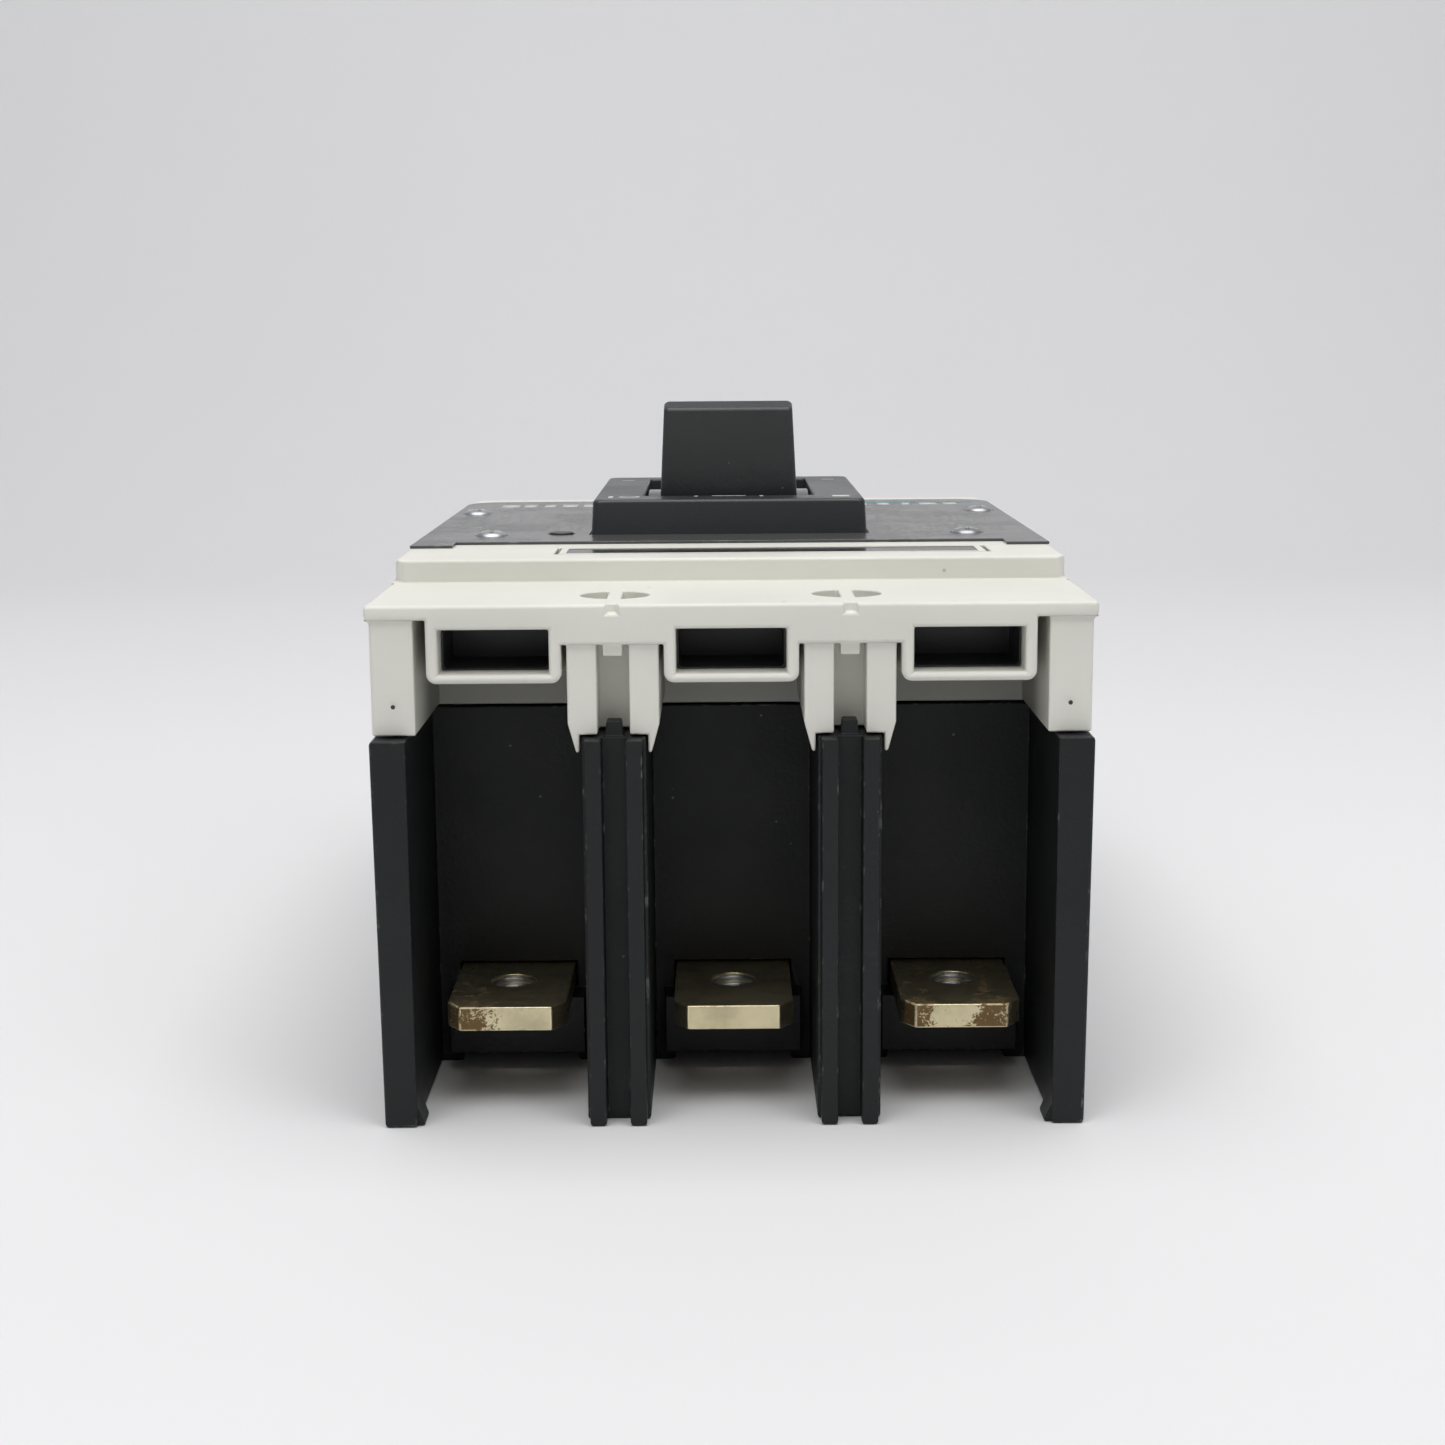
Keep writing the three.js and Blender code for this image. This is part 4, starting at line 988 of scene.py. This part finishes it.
# ---- terminals -----------------------------------------------------------------------------------
def make_terminals():
    """Bars with softened edges, tin plate worn and browned by place, and a thread in each hole."""
    hole_depth, bar_bottom, bar_top, inset = 21.5 * MM, 12.9 * MM, 16.7 * MM, 0.3 * MM
    radius, turns, wire = 3.55 * MM, 2.7, 0.42 * MM
    x = [centre(f"load_terminal_{i}").x for i in POLES]
    # place across, reach and strength of each brown patch
    browned = {
        "load_terminal_1": [(x[0] - 0.007, 0.009, 0.22)],
        "load_terminal_2": [],
        "load_terminal_3": [(x[2] - 0.008, 0.0065, 0.24), (x[2] + 0.0045, 0.0045, 0.26)],
        "line_terminal_1": [(x[0] + 0.004, 0.006, 0.2)],
        "line_terminal_2": [(x[1] - 0.006, 0.005, 0.18)],
        "line_terminal_3": [],
    }
    for name, patches in browned.items():
        finish = tinned(f"tinned {name}", patches)
        shell(name, name.replace("terminal", "bar"), finish, 0.25 * MM, "tinned_copper")
        side = -1 if name.startswith("load") else 1
        at = (centre(name).x, side * (HALF_LENGTH - hole_depth))
        foot, top = (*at, bar_bottom + inset), (*at, bar_top - inset)
        thread = name.replace("terminal", "thread")
        piece = coil(thread, foot, top, radius, turns, wire, PALETTE["steel"], sides=6)
        ride(piece, "case", "tinned_copper")


# ---- mechanism -----------------------------------------------------------------------------------
def upright_spring(name, node, body, radius, turns, wire):
    """A coil that stands for a CAD spring whose length runs along Z."""
    lowest, highest = BOXES[node]
    at = (lowest + highest) / 2
    inset = 0.3 * MM
    foot, top = (at.x, at.y, lowest.z + inset), (at.x, at.y, highest.z - inset)
    piece = coil(name, foot, top, radius, turns, wire, PALETTE["steel"])
    return ride(piece, body, "steel", node)


def make_springs():
    """Wound springs: two on the toggle, one under the trip button and one in each pole."""
    for hand in ("left", "right"):
        upright_spring(f"toggle_spring_{hand}", f"main_spring_{hand}", "main_springs",
                       radius=1.65 * MM, turns=24, wire=0.32 * MM)
    piece = upright_spring("button_spring", "trip_button_spring", "case",
                           radius=2.3 * MM, turns=6, wire=0.25 * MM)
    lowest, highest = BOXES["trip_button_spring"]
    at = (lowest + highest) / 2
    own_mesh(piece)
    lean, half_length, radius, wire = math.radians(24), 2.7 * MM, 2.1 * MM, 0.28 * MM
    half = Vector((0, -math.sin(lean), math.cos(lean))) * half_length
    for i in POLES:
        at = centre(f"contact_spring_{i}")
        piece = coil(f"pressure_spring_{i}", at - half, at + half, radius, 4, wire, PALETTE["steel"])
        ride(piece, "crossbar", "steel", f"contact_spring_{i}")


def make_braids():
    """Flat braids with rounded edges, between a fixed foot and the crossbar."""
    for i in POLES:
        name = f"braid_{i}"
        piece = new_object(f"flexible_braid_{i}", NODES[name].data.copy(), PALETTE["copper"])
        round_edges(piece, 0.4 * MM)
        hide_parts(name)
        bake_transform(piece)


INNER_FINISH = {
    "handle_yoke": "steel", "side_plate_left": "steel", "side_plate_right": "steel", "cradle": "dark_steel",
    "cradle_pin": "steel", "knee_pin": "steel", "crossbar_pin": "steel", "crossbar": "black",
    "upper_link": "steel", "lower_link": "steel", "contact_arm": "copper", "arc_chute": "fibre",
    "magnet_yoke": "dark_steel", "bimetal": "steel", "armature": "dark_steel", "trip_bar": "fibre",
}


def finish_inner_parts():
    """Gives the CAD nodes that no piece replaces their material."""
    for name, node in NODES.items():
        if node.hide_render:
            continue
        key = next(key for key in INNER_FINISH if name.startswith(key))
        for slot in node.material_slots:
            slot.link = "OBJECT"
            slot.material = PALETTE[INNER_FINISH[key]]


# ---- studio --------------------------------------------------------------------------------------
def make_studio():
    """A pale sheet that rises behind the object, a large soft lamp above and two fill lamps."""
    material, w, point, shader = start_material("pale sheet")
    cloud = w.noise(point, 3.0, 2.0)
    w.feed(shader.inputs["Base Color"], w.mix(cloud, (0.80, 0.80, 0.81, 1), (0.77, 0.77, 0.78, 1)))
    shader.inputs["Roughness"].default_value = 0.7
    shader.inputs["Specular IOR Level"].default_value = 0.2
    bm = bmesh.new()
    back, radius, width, near, top, steps = 1.1, 0.45, 2.6, -3.0, 2.2, 12
    profile = [(near, 0.0), (back - radius, 0.0)]
    for k in range(1, steps + 1):
        angle = math.radians(90 * k / steps)
        profile.append((back - radius + radius * math.sin(angle), radius - radius * math.cos(angle)))
    profile.append((back, top))
    columns = [[bm.verts.new((x, y, z)) for y, z in profile] for x in (-width, width)]
    for k in range(len(profile) - 1):
        bm.faces.new((columns[0][k], columns[1][k], columns[1][k + 1], columns[0][k + 1]))
    for face in bm.faces:
        face.smooth = True
    as_piece("backdrop", bm, material)
    # place, target, size and power of each lamp
    lamps = {
        "overhead": ((0.0, -0.25, 1.3), (0.0, -0.05, 0.0), 1.3, 16.0),
        "front_fill": ((-0.9, -1.3, 1.5), (0.0, 0.0, 0.05), 1.0, 4.0),
        "side_fill": ((1.2, -0.9, 1.3), (0.0, 0.0, 0.05), 1.0, 4.0),
    }
    for name, (at, target, size, power) in lamps.items():
        lamp = bpy.data.lights.new(name, "AREA")
        lamp.size = size
        lamp.energy = power
        lamp.color = (1.0, 0.995, 0.985)
        holder = bpy.data.objects.new(name, lamp)
        holder.location = at
        direction = Vector(target) - Vector(at)
        holder.rotation_euler = direction.to_track_quat("-Z", "Y").to_euler()
        bpy.context.scene.collection.objects.link(holder)
    world = bpy.data.worlds.new("soft room")
    world.use_nodes = True
    world.node_tree.nodes["Background"].inputs["Color"].default_value = (0.95, 0.96, 1.0, 1)
    world.node_tree.nodes["Background"].inputs["Strength"].default_value = 0.27
    bpy.context.scene.world = world
    bpy.context.scene.view_settings.view_transform = "Standard"


def make_camera():
    """The camera stands in front of the load end, a little above the handle, and looks slightly down."""
    aside, distance, height = -1.3 * MM, 318.4 * MM, 118.9 * MM
    camera = bpy.data.cameras.new("camera")
    camera.lens = 55.03
    camera.sensor_width = 36.0
    camera.clip_start = 0.01
    holder = bpy.data.objects.new("camera", camera)
    pitch, yaw, roll = math.radians(10.12), math.radians(-0.015), math.radians(-0.417)
    forward = Vector((math.sin(yaw) * math.cos(pitch), math.cos(yaw) * math.cos(pitch), -math.sin(pitch)))
    level = Vector((math.cos(yaw), -math.sin(yaw), 0))
    upward = level.cross(forward)
    right = level * math.cos(roll) + upward * math.sin(roll)
    top = upward * math.cos(roll) - level * math.sin(roll)
    turn = Matrix((right, top, -forward)).transposed().to_4x4()
    at = Vector((aside, low("base").y - distance, height))
    holder.matrix_world = Matrix.Translation(at) @ turn
    bpy.context.scene.collection.objects.link(holder)
    bpy.context.scene.camera = holder


make_camera()
make_studio()
make_mouldings()
make_surround()
make_grip()
make_slot_shield()
make_faceplate()
make_surround_marks()
make_window()
make_screws()
make_gate_marks()
# dark cups that stand in for the shade in the cable tunnels
make_tunnel_shade()
make_terminals()
make_springs()
make_braids()
finish_inner_parts()
